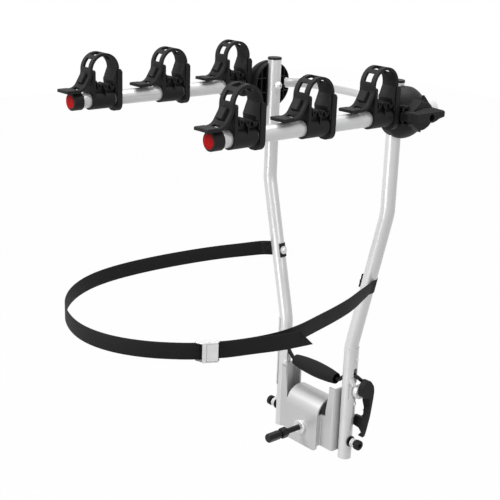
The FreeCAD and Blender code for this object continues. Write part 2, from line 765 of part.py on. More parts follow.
# Handle rod, its foam grip and the latch
def handle_rod():
    path = [at(-ROD_END_X, 0, BAIL_Z), at(-BAIL_OUT_X, 0, BAIL_Z), at(-BAIL_IN_X, 0, ROD_Z),
            at(BAIL_IN_X, 0, ROD_Z), at(BAIL_OUT_X, 0, BAIL_Z), at(ROD_END_X, 0, BAIL_Z),
            at(ROD_END_X, CRANK_Y, CRANK_Z)]
    return swept(path, [12, 12, 12, 12, 6], ROD_R)


def foam_grip():
    """Barrel of foam, drawn in X and radius and turned round the rod."""
    hole = ROD_R + SEAT_GAP
    arc = Part.Arc(at(-GRIP_HALF + 3, GRIP_END_R), at(0, GRIP_MID_R), at(GRIP_HALF - 3, GRIP_END_R)).toShape()
    outline = [(GRIP_HALF - 3, GRIP_END_R), (GRIP_HALF, GRIP_END_R - 1), (GRIP_HALF, GRIP_MOUTH_R),
               (GRIP_HALF - GRIP_MOUTH, GRIP_MOUTH_R), (GRIP_HALF - GRIP_MOUTH, hole),
               (GRIP_MOUTH - GRIP_HALF, hole), (GRIP_MOUTH - GRIP_HALF, GRIP_MOUTH_R),
               (-GRIP_HALF, GRIP_MOUTH_R), (-GRIP_HALF, GRIP_END_R - 1), (3 - GRIP_HALF, GRIP_END_R)]
    rest = [edge_of((at(*a), at(*b))) for a, b in zip(outline, outline[1:])]
    face = Part.Face(Part.Wire([arc] + rest))
    grip = face.revolve(ZERO, X_AXIS, 360)
    grip.translate(at(0, 0, ROD_Z))
    return grip


# The latch: a head on the drum's pin, and a broad plate below it that ends in a hook
LATCH_HEAD = [(4, 132), (0.5, 124), (1.5, 111), (8, 103), (21, 100), (35, 97), (36.5, 112), (34.5, 124),
              (24, 138), (13, 142)]
LATCH_SIDE = [(24, 105), (25, 94), (25, 77), (22, 58), (18, 43), (16.6, 30), (13.5, 21), (8, 18.5), (9, 15),
              (16, 16), (20.3, 27), (24.5, 42), (29, 58), (32, 77), (35, 97), (36, 105)]
LATCH_FRONT = [(LATCH_X + LATCH_THICK, 105), (113, 102), (115.4, 86), (120.8, 73), (122.4, 51.5), (100, 50.5),
               (97.5, 46), (98.5, 30), (117, 28.5), (121.5, 26), (126.5, 22), (124.5, 16.5), (127, 13),
               (LATCH_X + LATCH_THICK, 13)]
LATCH_RIBS = [(24.9, 79), (23.6, 68), (21.4, 56)]


def soft_face(points):
    """A flat closed outline in X and Y with every corner rounded."""
    corners = []
    points = [at(x, y) for x, y in points]
    count = len(points)
    for k in range(count):
        before, corner, after = points[k - 1], points[k], points[(k + 1) % count]
        corners.append(round_corner(before, corner, after, 0.7 * soft_radius(before, corner, after)))
    edges = []
    for k, (first, middle, second) in enumerate(corners):
        edges.append(edge_of((first, middle, second)))
        edges.append(edge_of((second, corners[(k + 1) % count][0])))
    return Part.Face(Part.Wire(edges))


def latch_lever():
    outer_x = LATCH_X + LATCH_THICK
    head = on_side(soft_face(LATCH_HEAD).extrude(at(0, 0, LATCH_THICK)))
    head.translate(at(LATCH_X, 0, 0))
    side = on_side(soft_face(LATCH_SIDE).extrude(at(0, 0, 60)))
    side.translate(at(outer_x - 60, 0, 0))
    corners = [at(x, z, -60) for x, z in LATCH_FRONT]
    front = Part.Face(Part.makePolygon(corners + corners[:1])).extrude(at(0, 0, 60))
    front.rotate(ZERO, X_AXIS, 90)
    plate = side.common(front)
    # Thin ribs cross the front of the plate and stand out a little at its inner edge
    for y, z in LATCH_RIBS:
        plate = plate.fuse(box(119.6, outer_x - 2, y - 0.9, y + 2, z - 0.6, z + 0.6))
    body = head.fuse(plate).cut(rod_x(DRUM_R + 1.5, 90, LATCH_X, DRUM_Y, DRUM_Z))
    body = body.cut(rod_x(DRUM_PIN_D / 2 + RUN_FIT, LATCH_X - 1, LATCH_X + 9.5, DRUM_Y, DRUM_Z))
    return body.cut(rod_x(DRUM_PIN_D / 2 + 0.6 + RUN_FIT, LATCH_X + 5.9, LATCH_X + 7.6, DRUM_Y, DRUM_Z))


save("handle_rod", handle_rod())
save("foam_grip", foam_grip())
save("latch_lever", latch_lever())


# Arm frame: one bent tube with a moulded hub on each side
HUB_FACE_X = HEAD_X + TUBE_R + 2.4
HUB_SEAT = TUBE_R + SEAT_GAP
TUNNEL_R = 17.0
TUNNEL_HALF = 47.0
HUB_NUT_POCKET = 12.0
HUB_FRONT_Y = -45.4
BACKING_R = 46.4
BACKING_X = 171.0
BACKING_WEB = 2.0


ARM_PATH = [at(-ARM_X, ARM_TIP_Y, HUB_Z), at(-ARM_X, CROSS_Y, HUB_Z), at(ARM_X, CROSS_Y, HUB_Z),
            at(ARM_X, ARM_TIP_Y, HUB_Z)]


def arm_tube():
    bends = [ARM_BEND, ARM_BEND]
    tube = swept(ARM_PATH, bends, TUBE_R).cut(swept(ARM_PATH, bends, TUBE_BORE))
    for side in (-1, 1):
        x = side * ARM_X
        tube = tube.cut(rod_x(HUB_BOLT_R + RUN_FIT, x - TUBE_R - 1, x + TUBE_R + 1, 0, HUB_Z))
    return tube


def hub_shape(wall):
    """Rim, dome and boss, drawn in X and radius; wall moves the skin inwards."""
    start = HUB_FACE_X
    shoulder = start + 8.0
    crown = ARM_X + 20.0
    rim = HUB_R - wall
    boss = HUB_BOSS_R + 1.0 - wall
    arc_start = at(shoulder, rim)
    arc_end = at(crown - wall, boss)
    arc_middle = at(shoulder + (crown - wall - shoulder) * 0.62, boss + (rim - boss) * 0.62)
    end = ARM_X + HUB_REACH - (wall if wall else 0)
    points = [at(start - (1 if wall else 0), 0), at(start - (1 if wall else 0), rim), arc_start]
    edges = [edge_of((points[0], points[1])), edge_of((points[1], arc_start)),
             edge_of((arc_start, arc_middle, arc_end))]
    if wall:
        edges.append(edge_of((arc_end, at(crown - wall, 0))))
        edges.append(edge_of((at(crown - wall, 0), points[0])))
    else:
        edges.append(edge_of((arc_end, at(end, boss))))
        edges.append(edge_of((at(end, boss), at(end, 0))))
        edges.append(edge_of((at(end, 0), points[0])))
    shape = Part.Face(Part.Wire(edges)).revolve(ZERO, X_AXIS, 360)
    shape.translate(at(0, 0, HUB_Z))
    return shape


def hub_nose():
    """Off-centre boss beside the lock lever, with a flat hood that slopes to the front."""
    end = ARM_X + HUB_REACH
    nose = rod_x(NOSE_R, ARM_X + 15, end, NOSE_Y, NOSE_Z)
    hood = [(-35, 11.3), (-8.0, 30.0), (NOSE_Y, NOSE_Z), (-8.0, -28.0), (-35, -9.3)]
    nose = nose.fuse(on_side(polygon(hood, ARM_X + 10, end)))
    nose = rounded_edges(nose.removeSplitter(), 1.0, lambda e: abs(e.CenterOfMass.x - end) < 0.1)
    nose.translate(at(0, 0, HUB_Z))
    return nose.cut(swept(ARM_PATH, [ARM_BEND, ARM_BEND], HUB_SEAT))


def hub_fin():
    """Thin fin at the back of the nose."""
    fin = on_side(polygon([(12, 35), (14.5, 35), (31, 18), (28, 8), (8, 14)], ARM_X + 18, ARM_X + 21))
    fin.translate(at(0, 0, HUB_Z))
    return fin


def outer_upright(edge):
    """Whether an edge of the lugs stands upright on the side away from the hub."""
    upright = abs(edge.tangentAt(edge.FirstParameter).z) > 0.9
    return upright and edge.CenterOfMass.x > LEVER_PIN_X


def hub(with_lever):
    body = hub_shape(0)
    tunnel = rod_y(TUNNEL_R, -TUNNEL_HALF, TUNNEL_HALF, ARM_X, HUB_Z)
    core = rod_x(HUB_BOSS_R - 5, HUB_FACE_X, ARM_X, 0, HUB_Z)
    ribs = []
    for k in range(6):
        rib = box(HUB_FACE_X, ARM_X + 20, -HUB_RIB / 2, HUB_RIB / 2, -HUB_R, HUB_R)
        rib.rotate(ZERO, X_AXIS, 30 * k + 15)
        rib.translate(at(0, 0, HUB_Z))
        ribs.append(rib)
    room = hub_shape(HUB_WALL).cut(tunnel.fuse([core] + ribs))
    body = body.fuse(tunnel).cut(room)
    # A notch in the back of the rim, and the flat side that faces the upright
    body = body.cut(box(HUB_FACE_X - 1, HUB_FACE_X + 7, HUB_R - 8, HUB_R + 2, HUB_Z - 7, HUB_Z + 7))
    body = body.cut(box(HUB_FACE_X - 20, HUB_FACE_X, -60, 60, HUB_Z - 60, HUB_Z + 60))
    # The front is cut flat to stand clear of the last cradle
    body = body.cut(box(HUB_FACE_X - 1, ARM_X + 22, -60, HUB_FRONT_Y, HUB_Z - 60, HUB_Z + 60))
    body = body.cut(swept(ARM_PATH, [ARM_BEND, ARM_BEND], HUB_SEAT))
    if with_lever:
        body = body.fuse([hub_nose(), hub_fin()])
        foot = HUB_Z + LEVER_FOOT
        crown = HUB_Z + LEVER_CROWN
        lugs = box(ARM_X + 3, LEVER_PIN_X + LEVER_EYE_R, HUB_FRONT_Y, LEVER_PIN_Y + 13, foot - 4.5, crown + 4)
        lugs = rounded_edges(lugs, LEVER_EYE_R - 1.0, outer_upright)
        room = box(LEVER_PIN_X - LEVER_EYE_R - SIDE_GAP, LEVER_PIN_X + 60,
                   LEVER_PIN_Y - 20, LEVER_PIN_Y + 6.5, foot - SIDE_GAP, crown + SIDE_GAP)
        body = body.fuse(lugs.cut(rod_y(HUB_SEAT, -60, 60, ARM_X, HUB_Z)))
        body = body.cut(room)
        body = body.cut(rod_z(LEVER_PIN_D / 2 + SEAT_GAP, HUB_Z - 30, HUB_Z + 30, LEVER_PIN_X, LEVER_PIN_Y))
    body = body.cut(rod_x(HUB_BOLT_R + RUN_FIT, HUB_FACE_X - 1, ARM_X + HUB_REACH + 1, 0, HUB_Z))
    body = body.cut(rod_x(HUB_NUT_POCKET, HUB_NUT_X - 1, ARM_X + HUB_REACH + 1, 0, HUB_Z))
    return body.removeSplitter()


def hub_backing():
    """Ribbed disc on the outer side of an upright, which the hub turns against."""
    web_x = HUB_FACE_X - 0.4
    disc = rod_x(BACKING_R, BACKING_X, web_x, 0, HUB_Z)
    room = rod_x(BACKING_R - HUB_WALL, BACKING_X - 1, web_x - BACKING_WEB, 0, HUB_Z)
    keep = [rod_x(HUB_BOLT_D, BACKING_X, web_x, 0, HUB_Z),
            box(BACKING_X, web_x, -TUBE_R - 3, TUBE_R + 3, HUB_Z - BACKING_R + 1, HUB_Z + BACKING_R - 1)]
    for height in (-HUB_RIB_PITCH, HUB_RIB_PITCH):
        z = HUB_Z + height
        keep.append(box(BACKING_X, web_x, 1 - BACKING_R, BACKING_R - 1, z - 1, z + 1))
    for y in (-2 * HUB_RIB_PITCH - 1, 2 * HUB_RIB_PITCH + 1):
        keep.append(box(BACKING_X, web_x, y - 1, y + 1, HUB_Z - BACKING_R + 16, HUB_Z + BACKING_R - 16))
    disc = disc.cut(room.cut(keep[0].fuse(keep[1:])))
    disc = disc.cut(box(BACKING_X - 1, web_x + 1, BACKING_R - 7, BACKING_R + 1, HUB_Z - 10.5, HUB_Z + 10.5))
    bore = rod_x(HUB_BOLT_R + SEAT_GAP, 160, 190, 0, HUB_Z)
    return disc.cut(post_bar(TUBE_R + 0.1)).cut(bore).removeSplitter()


def end_cap():
    face_y = ARM_TIP_Y - CAP_FACE
    cap = rod_y(CAP_D / 2, face_y, face_y + CAP_LENGTH, ARM_X, HUB_Z)
    cap = rounded_edges(cap, 1.8, lambda e: abs(e.CenterOfMass.y - face_y) < 0.1)
    cap = cap.cut(rod_y(TUBE_R + SEAT_GAP, ARM_TIP_Y, face_y + CAP_LENGTH + 1, ARM_X, HUB_Z))
    return cap.cut(rod_y(REFLECTOR_D / 2 + SEAT_GAP, face_y - 1, face_y + REFLECTOR - 0.6, ARM_X, HUB_Z))


def reflector():
    face_y = ARM_TIP_Y - CAP_FACE
    disc = rod_y(REFLECTOR_D / 2, face_y - 0.6, face_y + REFLECTOR - 0.6, ARM_X, HUB_Z)
    return rounded_edges(disc, 0.5, lambda e: abs(e.CenterOfMass.y - face_y + 0.6) < 0.1)


# Locking lever in plan, from its pin across the front and along the hub's nose to the tip
LEVER_PIN_X = ARM_X + 21.5
LEVER_MID_X = ARM_X + HUB_REACH + 1.0 + LEVER_THICK / 2
LEVER_PATH = [(LEVER_PIN_X, LEVER_PIN_Y), (LEVER_MID_X, LEVER_PIN_Y), (LEVER_MID_X, 12),
              (LEVER_MID_X + 0.5, 42)]
# Its side view in Y and Z, measured from the hub's centre
LEVER_SIDE = [(-50, 10.5), (-29, 12.5), (-7, 16), (18, 15.5), (39.5, 9.5), (41.5, 6), (41, -2), (27, -4.6),
              (20.6, -7.7), (11.7, -10.2), (-18, -8.6), (-45.5, -5.5), (-50, -5)]
LEVER_HOLE_Y = 7.0
LEVER_HOLE_Z = -1.0


def lock_lever():
    side = LEVER_THICK / 2
    bar = band(LEVER_PATH, [8.0, 60.0], LEVER_THICK, LEVER_FOOT, LEVER_CROWN)
    bar = bar.common(on_side(polygon(LEVER_SIDE, ARM_X, ARM_X + 60)))
    outer_x, front_y = LEVER_MID_X + side, LEVER_PIN_Y - side
    # The upper edge slopes down to the outer side and to the front
    bar = bar.cut(moved(tilted_wedge(), outer_x, 0, 0))
    slope = [(front_y - 0.5, 7.9), (front_y + LEVER_THICK, 16.5), (front_y + LEVER_THICK, 30),
             (front_y - 0.5, 30)]
    bar = bar.cut(on_side(polygon(slope, ARM_X, ARM_X + 60)))
    eye = rod_z(LEVER_EYE_R, -6.0, 10.0, LEVER_PIN_X, LEVER_PIN_Y)
    body = bar.fuse(eye).cut(rod_x(LEVER_HOLE_D / 2, ARM_X + 30, ARM_X + 60, LEVER_HOLE_Y, LEVER_HOLE_Z))
    body = body.cut(rod_z(LEVER_PIN_D / 2 + RUN_FIT, -30, 30, LEVER_PIN_X, LEVER_PIN_Y))
    return moved(body.removeSplitter(), 0, 0, HUB_Z)


def tilted_wedge():
    """Cutter for the sloping upper edge, drawn with the lever's outer side at X = 0."""
    wedge = polygon([(0.5, 7.9), (-LEVER_THICK, 16.5), (-LEVER_THICK, 30), (0.5, 30)], -80, 80)
    wedge.rotate(ZERO, X_AXIS, 90)
    return wedge


def lever_pin():
    foot, crown = HUB_Z + LEVER_FOOT - 4.5, HUB_Z + LEVER_CROWN + 4
    pin = rod_z(LEVER_PIN_D / 2, foot, crown + 1, LEVER_PIN_X, LEVER_PIN_Y)
    head = rod_z(LEVER_PIN_D / 2 + 1.5, crown, crown + 1.6, LEVER_PIN_X, LEVER_PIN_Y)
    return pin.fuse(head).removeSplitter()


save("arm_tube", arm_tube())
save("hub_backings", Part.makeCompound([hub_backing(), mirrored(hub_backing())]))
save("right_hub_housing", hub(True))
save("left_hub_housing", mirrored(hub(False)))
save("right_end_cap", end_cap())
save("left_end_cap", mirrored(end_cap()))
save("right_reflector", reflector())
save("left_reflector", mirrored(reflector()))
save("lock_lever", lock_lever())
save("lever_pin", lever_pin())


# Cradles: drawn with the tube axis at X = 0, Z = 0, then moved along the arms
PAD_PATH = [(-14.8, 37), (-12.5, 33.5), (-8.5, 16.4), (-1.5, 34.4), (6, 16.4), (13.5, 33.4), (20, 16.4),
            (29.6, 31)]
PAD_RADII = [2.0, 2.6, 3.0, 2.6, 3.0, 2.6]
WEDGE_OUTLINE = [(30.0, 56), (21.5, 35), (22.6, 27), (29.0, 31.0), (30.0, 32.5)]
STRAP_RADII = [ARCH_R, ARCH_R, 22, 20]


def above_pad():
    """Everything over the middle of the pad, in Y and Z."""
    runs = rounded_runs([at(v, w) for v, w in PAD_PATH], PAD_RADII)
    edges = [edge_of(run) for run in runs]
    corners = [runs[-1][-1], at(40, 31), at(40, 70), at(-30, 70), at(-30, 36), runs[0][0]]
    edges += [edge_of(pair) for pair in zip(corners, corners[1:])]
    return Part.Face(Part.Wire(edges))


def cradle_body():
    sleeve = rod_y(SLEEVE_R, SLEEVE_FRONT, SLEEVE_BACK)
    seat = box(-CRADLE_HALF, CRADLE_HALF, SLEEVE_FRONT, COLLAR_FRONT, 0, 40)
    # The seat is cut to the wavy underside of the pad
    under = band_face(PAD_PATH, PAD_RADII, -PAD / 2 - SEAT_GAP / 2, PAD / 2)
    for face in (above_pad(), under):
        cutter = on_side(face.extrude(at(0, 0, 60)))
        cutter.translate(at(-30, 0, 0))
        seat = seat.cut(cutter)
    lower = box(-CRADLE_HALF - 1, CRADLE_HALF + 1, SLEEVE_BACK, COLLAR_FRONT, -1, 12)
    seat = seat.cut(lower)
    # Pockets under the pad at both sides, with a post under its middle valley
    for v0, v1 in ((SLEEVE_FRONT + TOWER + 0.5, 5.1), (6.9, SLEEVE_BACK + 0.5)):
        pockets = box(10, CRADLE_HALF + 1, v0, v1, 3, 45).fuse(box(-CRADLE_HALF - 1, -10, v0, v1, 3, 45))
        seat = seat.cut(pockets)
    tower = box(-CRADLE_HALF, CRADLE_HALF, SLEEVE_FRONT, SLEEVE_FRONT + TOWER, 0, TOWER_TOP)
    tower = rounded_edges(tower, 4.0, lambda e: abs(e.tangentAt(e.FirstParameter).y) > 0.9
                          and e.CenterOfMass.z > TOWER_TOP - 1)
    collar = box(-CRADLE_HALF - 1, CRADLE_HALF + 1, COLLAR_FRONT, COLLAR_BACK, -COLLAR_DROP, TOWER_TOP)
    collar = rounded_edges(collar, 15.0, lambda e: abs(e.tangentAt(e.FirstParameter).y) > 0.9
                           and e.CenterOfMass.z < 0)
    collar = rounded_edges(collar, 4.5, lambda e: abs(e.tangentAt(e.FirstParameter).x) > 0.9
                           and e.CenterOfMass.z > 0 and e.CenterOfMass.y > COLLAR_FRONT + 1)
    body = sleeve.fuse([seat, tower, collar])
    # A slot in the collar's top holds the strap's eye and its pin
    room = box(-LUG_IN - SIDE_GAP, LUG_IN + SIDE_GAP, COLLAR_FRONT - 1, COLLAR_BACK + 1, HINGE_W - 8, 80)
    body = body.cut(room)
    # The lugs are round behind the pin, to let the strap swing back
    corner = box(-30, 30, HINGE_V, 60, HINGE_W + 1, 80).cut(rod_x(6.0, -30, 30, HINGE_V, HINGE_W))
    body = body.cut(corner).cut(rod_y(TUBE_R + RUN_FIT, -60, 60))
    return body.removeSplitter()


def cradle_pad():
    face = band_face(PAD_PATH, PAD_RADII, -PAD / 2, PAD / 2)
    sheet = on_side(face.extrude(at(0, 0, 2 * PAD_HALF)))
    sheet.translate(at(-PAD_HALF, 0, 0))
    wedge = on_side(polygon(WEDGE_OUTLINE, -PAD_HALF, PAD_HALF))
    return sheet.fuse(wedge).removeSplitter()


def strap_hole(v, w, angle, half, length):
    """A square hole across the strap, whose length lies at an angle in the side view."""
    hole = box(-half, half, -length / 2, length / 2, -12, 12)
    hole.rotate(ZERO, X_AXIS, angle)
    hole.translate(at(0, v, w))
    return hole


def cradle_strap(lift):
    """Rubber strap from its eye over the arch to the loose tail; lift raises the arch."""
    top = ARCH_W + ARCH_R + lift
    path = [(HINGE_V - 2, HINGE_W), (HINGE_V - 2, top), (ARCH_V - ARCH_R, top), (ARCH_V - ARCH_R, 47),
            (-42, TAIL_W), (TAIL_END_V, TAIL_W)]
    strip = on_side(band(path, STRAP_RADII, BAND, -BAND_HALF, BAND_HALF))
    tail = box(-BAND_HALF, BAND_HALF, TAIL_END_V, TAIL_END_V + TAIL_LENGTH, TAIL_W - TAIL_THICK / 2,
               TAIL_W + TAIL_THICK / 2)
    tail = rounded_edges(tail, 2.5, lambda e: abs(e.CenterOfMass.y - TAIL_END_V) < 0.1)
    # The rear end narrows to an eye between the collar's lugs
    for side in (-1, 1):
        x0, x1 = sorted((side * (LUG_IN - 0.1), side * (BAND_HALF + 1)))
        strip = strip.cut(box(x0, x1, HINGE_V - 8, HINGE_V + 8, HINGE_W - 8, TOWER_TOP + SIDE_GAP))
    eye = rod_x(HINGE_EYE_R, -LUG_IN + 0.1, LUG_IN - 0.1, HINGE_V, HINGE_W)
    button = box(-BUTTON_HALF, BUTTON_HALF, -10, 10, 0, BAND / 2 + BUTTON)
    button = rounded_edges(button, 2.0, lambda e: abs(e.CenterOfMass.z - BAND / 2 - BUTTON) < 0.1)
    button.rotate(ZERO, X_AXIS, 59)
    button.translate(at(0, -30, 38.5))
    body = strip.fuse([tail, eye, button])
    for angle in (152, 104, 56):
        v = ARCH_V + ARCH_R * math.cos(math.radians(angle))
        w = ARCH_W + lift + ARCH_R * math.sin(math.radians(angle))
        body = body.cut(strap_hole(v, w, angle + 90, HOLE_HALF, HOLE_LENGTH))
    body = body.cut(strap_hole(-45.5, 20, 28, HOLE_HALF, 7.0))
    return body.cut(rod_x(HINGE_PIN_D / 2 + RUN_FIT, -30, 30, HINGE_V, HINGE_W)).removeSplitter()


def hinge_pin():
    reach = CRADLE_HALF - 2
    return rod_x(HINGE_PIN_D / 2, -reach, reach, HINGE_V, HINGE_W)


# The pin is moulded in with the collar's two lugs
FRAME_CRADLE = cradle_body().fuse(hinge_pin()).removeSplitter()
FRAME_PAD = cradle_pad()
FRAME_STRAPS = [cradle_strap(0.0)] * (CRADLE_COUNT - 1) + [cradle_strap(LAST_LIFT)]
for side_name, side in (("left", -1), ("right", 1)):
    for k in range(CRADLE_COUNT):
        y = CRADLE_LAST_Y - CRADLE_PITCH * (CRADLE_COUNT - 1 - k)
        tag = "_" + str(k + 1)
        save(side_name + "_cradle_body" + tag, moved(FRAME_CRADLE, side * ARM_X, y, HUB_Z))
        save(side_name + "_cradle_pad" + tag, moved(FRAME_PAD, side * ARM_X, y, HUB_Z))
        save(side_name + "_cradle_strap" + tag, moved(FRAME_STRAPS[k], side * ARM_X, y, HUB_Z))


# Tie strap: two lengths of webbing that meet in a cam buckle
CHAIN = [at(x, y) for x, y in LOOP]
CHAIN_RADII = [soft_radius(a, b, c) for a, b, c in zip(CHAIN, CHAIN[1:], CHAIN[2:])]
WEB_FOOT = STRAP_Z - WEB_WIDTH / 2
WEB_TOP = STRAP_Z + WEB_WIDTH / 2
LAYER = WEB + WEB_GAP
RUN_START, RUN_END = LOOP[BUCKLE_POINT], LOOP[BUCKLE_POINT + 1]
RUN_HEADING = math.atan2(RUN_END[1] - RUN_START[1], RUN_END[0] - RUN_START[0])


def on_run(share):
    return (RUN_START[0] + share * (RUN_END[0] - RUN_START[0]),
            RUN_START[1] + share * (RUN_END[1] - RUN_START[1]))


def web(points, radii, low, high):
    face = band_face(points, radii, low, high)
    face.translate(at(0, 0, WEB_FOOT))
    return face.extrude(at(0, 0, WEB_WIDTH))


def long_web():
    """From the left upright through the buckle to the loose tail, on the outer side."""
    route = LOOP[:TAIL_POINT] + TAIL
    chain = [at(x, y) for x, y in route]
    radii = [soft_radius(a, b, c) for a, b, c in zip(chain, chain[1:], chain[2:])]
    strip = web(route, radii, -WEB / 2 - LAYER, WEB / 2 - LAYER)
    strip = strip.cut(box(-STRAP_SPLIT_X - 0.4, 0, -60, 20, 0, TUBE_TOP))
    # The tail is cut at a slant, with its point at the bottom
    x, y = TAIL[-1]
    corners = [(y - TAIL_SLANT, WEB_TOP + 1), (y + 20, WEB_TOP + 1), (y + 1, WEB_FOOT - 1), (y, WEB_FOOT - 1)]
    slant = polygon(corners, x - 20, x + 20)
    return strip.cut(on_side(slant))


def short_web():
    """From the buckle round to the right upright, on the inner side."""
    points = [on_run(0.42)] + LOOP[BUCKLE_POINT + 1:]
    strip = web(points, CHAIN_RADII[BUCKLE_POINT:], -WEB / 2, WEB / 2)
    return strip.cut(box(0, STRAP_SPLIT_X + 0.4, -60, 20, 0, TUBE_TOP))


WRAP_REACH = TUBE_R + 0.1 + WEB / 2
POST_SLOPE = math.degrees(math.atan2(HEAD_X - FOOT_X, HIGH_BEND_Z - LOW_BEND_Z))


def at_strap(shape):
    """Set a shape, drawn round the Z axis, on the sloping upright at the strap's height."""
    placed = shape.copy()
    placed.rotate(ZERO, Y_AXIS, POST_SLOPE)
    placed.translate(at(post_x(STRAP_Z), 0, STRAP_Z))
    return placed


def wrap(points):
    """Webbing round an upright, as far as the plane where the loop's own webbing starts."""
    face = band_face(points, [WRAP_REACH] * (len(points) - 2), -WEB / 2, WEB / 2)
    strip = face.extrude(at(0, 0, WEB_WIDTH))
    strip.translate(at(0, 0, -WEB_WIDTH / 2))
    return at_strap(strip).cut(box(STRAP_SPLIT_X, STRAP_SPLIT_X + 60, -60, 60, 0, TUBE_TOP))


def left_wrap():
    r = WRAP_REACH
    # From the bolt round the back of the tube, then outwards on a slant of 30 degrees
    return mirrored(wrap([(-r, -10), (-r, r), (5, r), (5 + 24 * math.cos(math.pi / 6), r - 12)]))


def right_wrap():
    r = WRAP_REACH
    return wrap([(-r, -10), (-r, r), (r, r), (r + 1, -8), (r + 15, -33)])


def web_bolt():
    """Bolt and broad washer that hold the end of the webbing to the tube's inner side."""
    face = -WRAP_REACH - WEB / 2 - SEAT_GAP
    washer = rod_x(ANCHOR_WASHER_D / 2, face - 1.5, face)
    head = mirrored(dome(ANCHOR_HEAD_D / 2, 3.0, -face + 1.5, 0, 0))
    shank = rod_x(ANCHOR_D / 2, face - 2, -TUBE_BORE + 3)
    return at_strap(washer.fuse([head, shank]).removeSplitter())


def web_bolt_hole(extra):
    return at_strap(rod_x(ANCHOR_D / 2 + extra, -TUBE_R - 4, -TUBE_BORE + 2))


save("right_upright", upright().cut(web_bolt_hole(SEAT_GAP)))
save("left_upright", mirrored(upright().cut(web_bolt_hole(SEAT_GAP))))
save("long_webbing", long_web())
save("short_webbing", short_web())
save("left_web_end", left_wrap().cut(mirrored(web_bolt_hole(SEAT_GAP))))
save("right_web_end", right_wrap().cut(web_bolt_hole(SEAT_GAP)))
save("webbing_bolts", Part.makeCompound([web_bolt(), mirrored(web_bolt())]))


# Cam buckle, drawn along X with the webbing's outer side towards -Y, then set on its run
BUCKLE_FRONT = -WEB / 2 - LAYER - BUCKLE_DEPTH
BUCKLE_PIN_Y = BUCKLE_FRONT + BUCKLE_DRUM_R + 0.3
BUCKLE_HALF = WEB_WIDTH / 2 + 1.0
COVER_LEFT = -10.5
COVER_RIGHT = 15.5


def buckle_frame():
    """Back plate, an ear above and below the webbing, and a bridge between their front edges."""
    back = WEB / 2 + BUCKLE_ROOM
    length = BUCKLE_LENGTH / 2
    outer = BUCKLE_HALF + BUCKLE_SHEET
    plate = box(-length, length, back, back + BUCKLE_SHEET, -outer, outer)
    outline = [(-length, back + BUCKLE_SHEET), (length, back + BUCKLE_SHEET), (length, -5),
               (COVER_RIGHT, BUCKLE_FRONT), (COVER_LEFT, BUCKLE_FRONT), (-length, -5)]
    ears = [polygon(outline, BUCKLE_HALF, outer), polygon(outline, -outer, -BUCKLE_HALF)]
    bridge = box(COVER_LEFT, -BUCKLE_DRUM_R + 1.0, BUCKLE_FRONT, BUCKLE_FRONT + BUCKLE_SHEET, -outer, outer)
    frame = plate.fuse(ears + [bridge])
    return frame.cut(rod_z(BUCKLE_PIN_D / 2 + RUN_FIT, -40, 40, 0, BUCKLE_PIN_Y)).removeSplitter()


def buckle_pin():
    outer = BUCKLE_HALF + BUCKLE_SHEET
    pin = rod_z(BUCKLE_PIN_D / 2, -outer - 1, outer + 1, 0, BUCKLE_PIN_Y)
    heads = [rod_z(BUCKLE_PIN_D / 2 + 0.8, outer + 0.05, outer + 0.9, 0, BUCKLE_PIN_Y),
             rod_z(BUCKLE_PIN_D / 2 + 0.8, -outer - 0.9, -outer - 0.05, 0, BUCKLE_PIN_Y)]
    return pin.fuse(heads).removeSplitter()


def buckle_lever():
    """Drum that presses on the webbing, with a flat thumb plate level with the bridge."""
    half = BUCKLE_HALF - 0.6
    drum = rod_z(BUCKLE_DRUM_R, -half, half, 0, BUCKLE_PIN_Y)
    thumb = box(0, COVER_RIGHT + 0.8, BUCKLE_FRONT + 0.3, BUCKLE_FRONT + 0.3 + BUCKLE_SHEET, -half, half)
    lever = drum.fuse(thumb)
    return lever.cut(rod_z(BUCKLE_PIN_D / 2 + RUN_FIT, -40, 40, 0, BUCKLE_PIN_Y)).removeSplitter()


def on_buckle(shape):
    copy = shape.copy()
    copy.rotate(ZERO, Z_AXIS, math.degrees(RUN_HEADING))
    x, y = on_run(0.5)
    copy.translate(at(x, y, STRAP_Z))
    return copy


save("buckle_frame", on_buckle(buckle_frame()))
save("buckle_pin", on_buckle(buckle_pin()))
save("buckle_lever", on_buckle(buckle_lever()))
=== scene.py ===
# %% [markdown]
# A bike rack for a tow ball, dressed for rendering.
#
# The solids come packed from the CAD, and each already lies where it belongs, in
# metres. This lesson gives them finishes, and makes the soft pieces and the fine
# detail that solids leave plain: webbing, stitches, foam and the cells of a reflector.

# %% Load the model
import json
import math

import bmesh
import bpy
from mathutils import Matrix, Vector, noise


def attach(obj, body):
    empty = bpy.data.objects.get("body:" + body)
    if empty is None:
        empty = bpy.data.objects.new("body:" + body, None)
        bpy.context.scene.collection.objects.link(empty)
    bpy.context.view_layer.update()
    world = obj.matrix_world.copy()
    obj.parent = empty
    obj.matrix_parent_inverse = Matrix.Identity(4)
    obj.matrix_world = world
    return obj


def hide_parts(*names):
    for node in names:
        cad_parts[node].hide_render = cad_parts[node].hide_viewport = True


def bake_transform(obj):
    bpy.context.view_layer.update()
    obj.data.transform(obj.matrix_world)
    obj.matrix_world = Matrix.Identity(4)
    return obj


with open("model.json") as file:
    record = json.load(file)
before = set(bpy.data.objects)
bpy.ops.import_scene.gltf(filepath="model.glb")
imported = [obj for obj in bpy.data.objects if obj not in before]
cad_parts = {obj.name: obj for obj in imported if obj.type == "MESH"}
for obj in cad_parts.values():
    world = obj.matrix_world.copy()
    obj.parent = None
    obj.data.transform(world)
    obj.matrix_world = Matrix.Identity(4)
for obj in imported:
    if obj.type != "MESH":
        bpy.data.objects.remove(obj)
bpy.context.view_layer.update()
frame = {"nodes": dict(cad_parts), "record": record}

NODES = frame["nodes"]

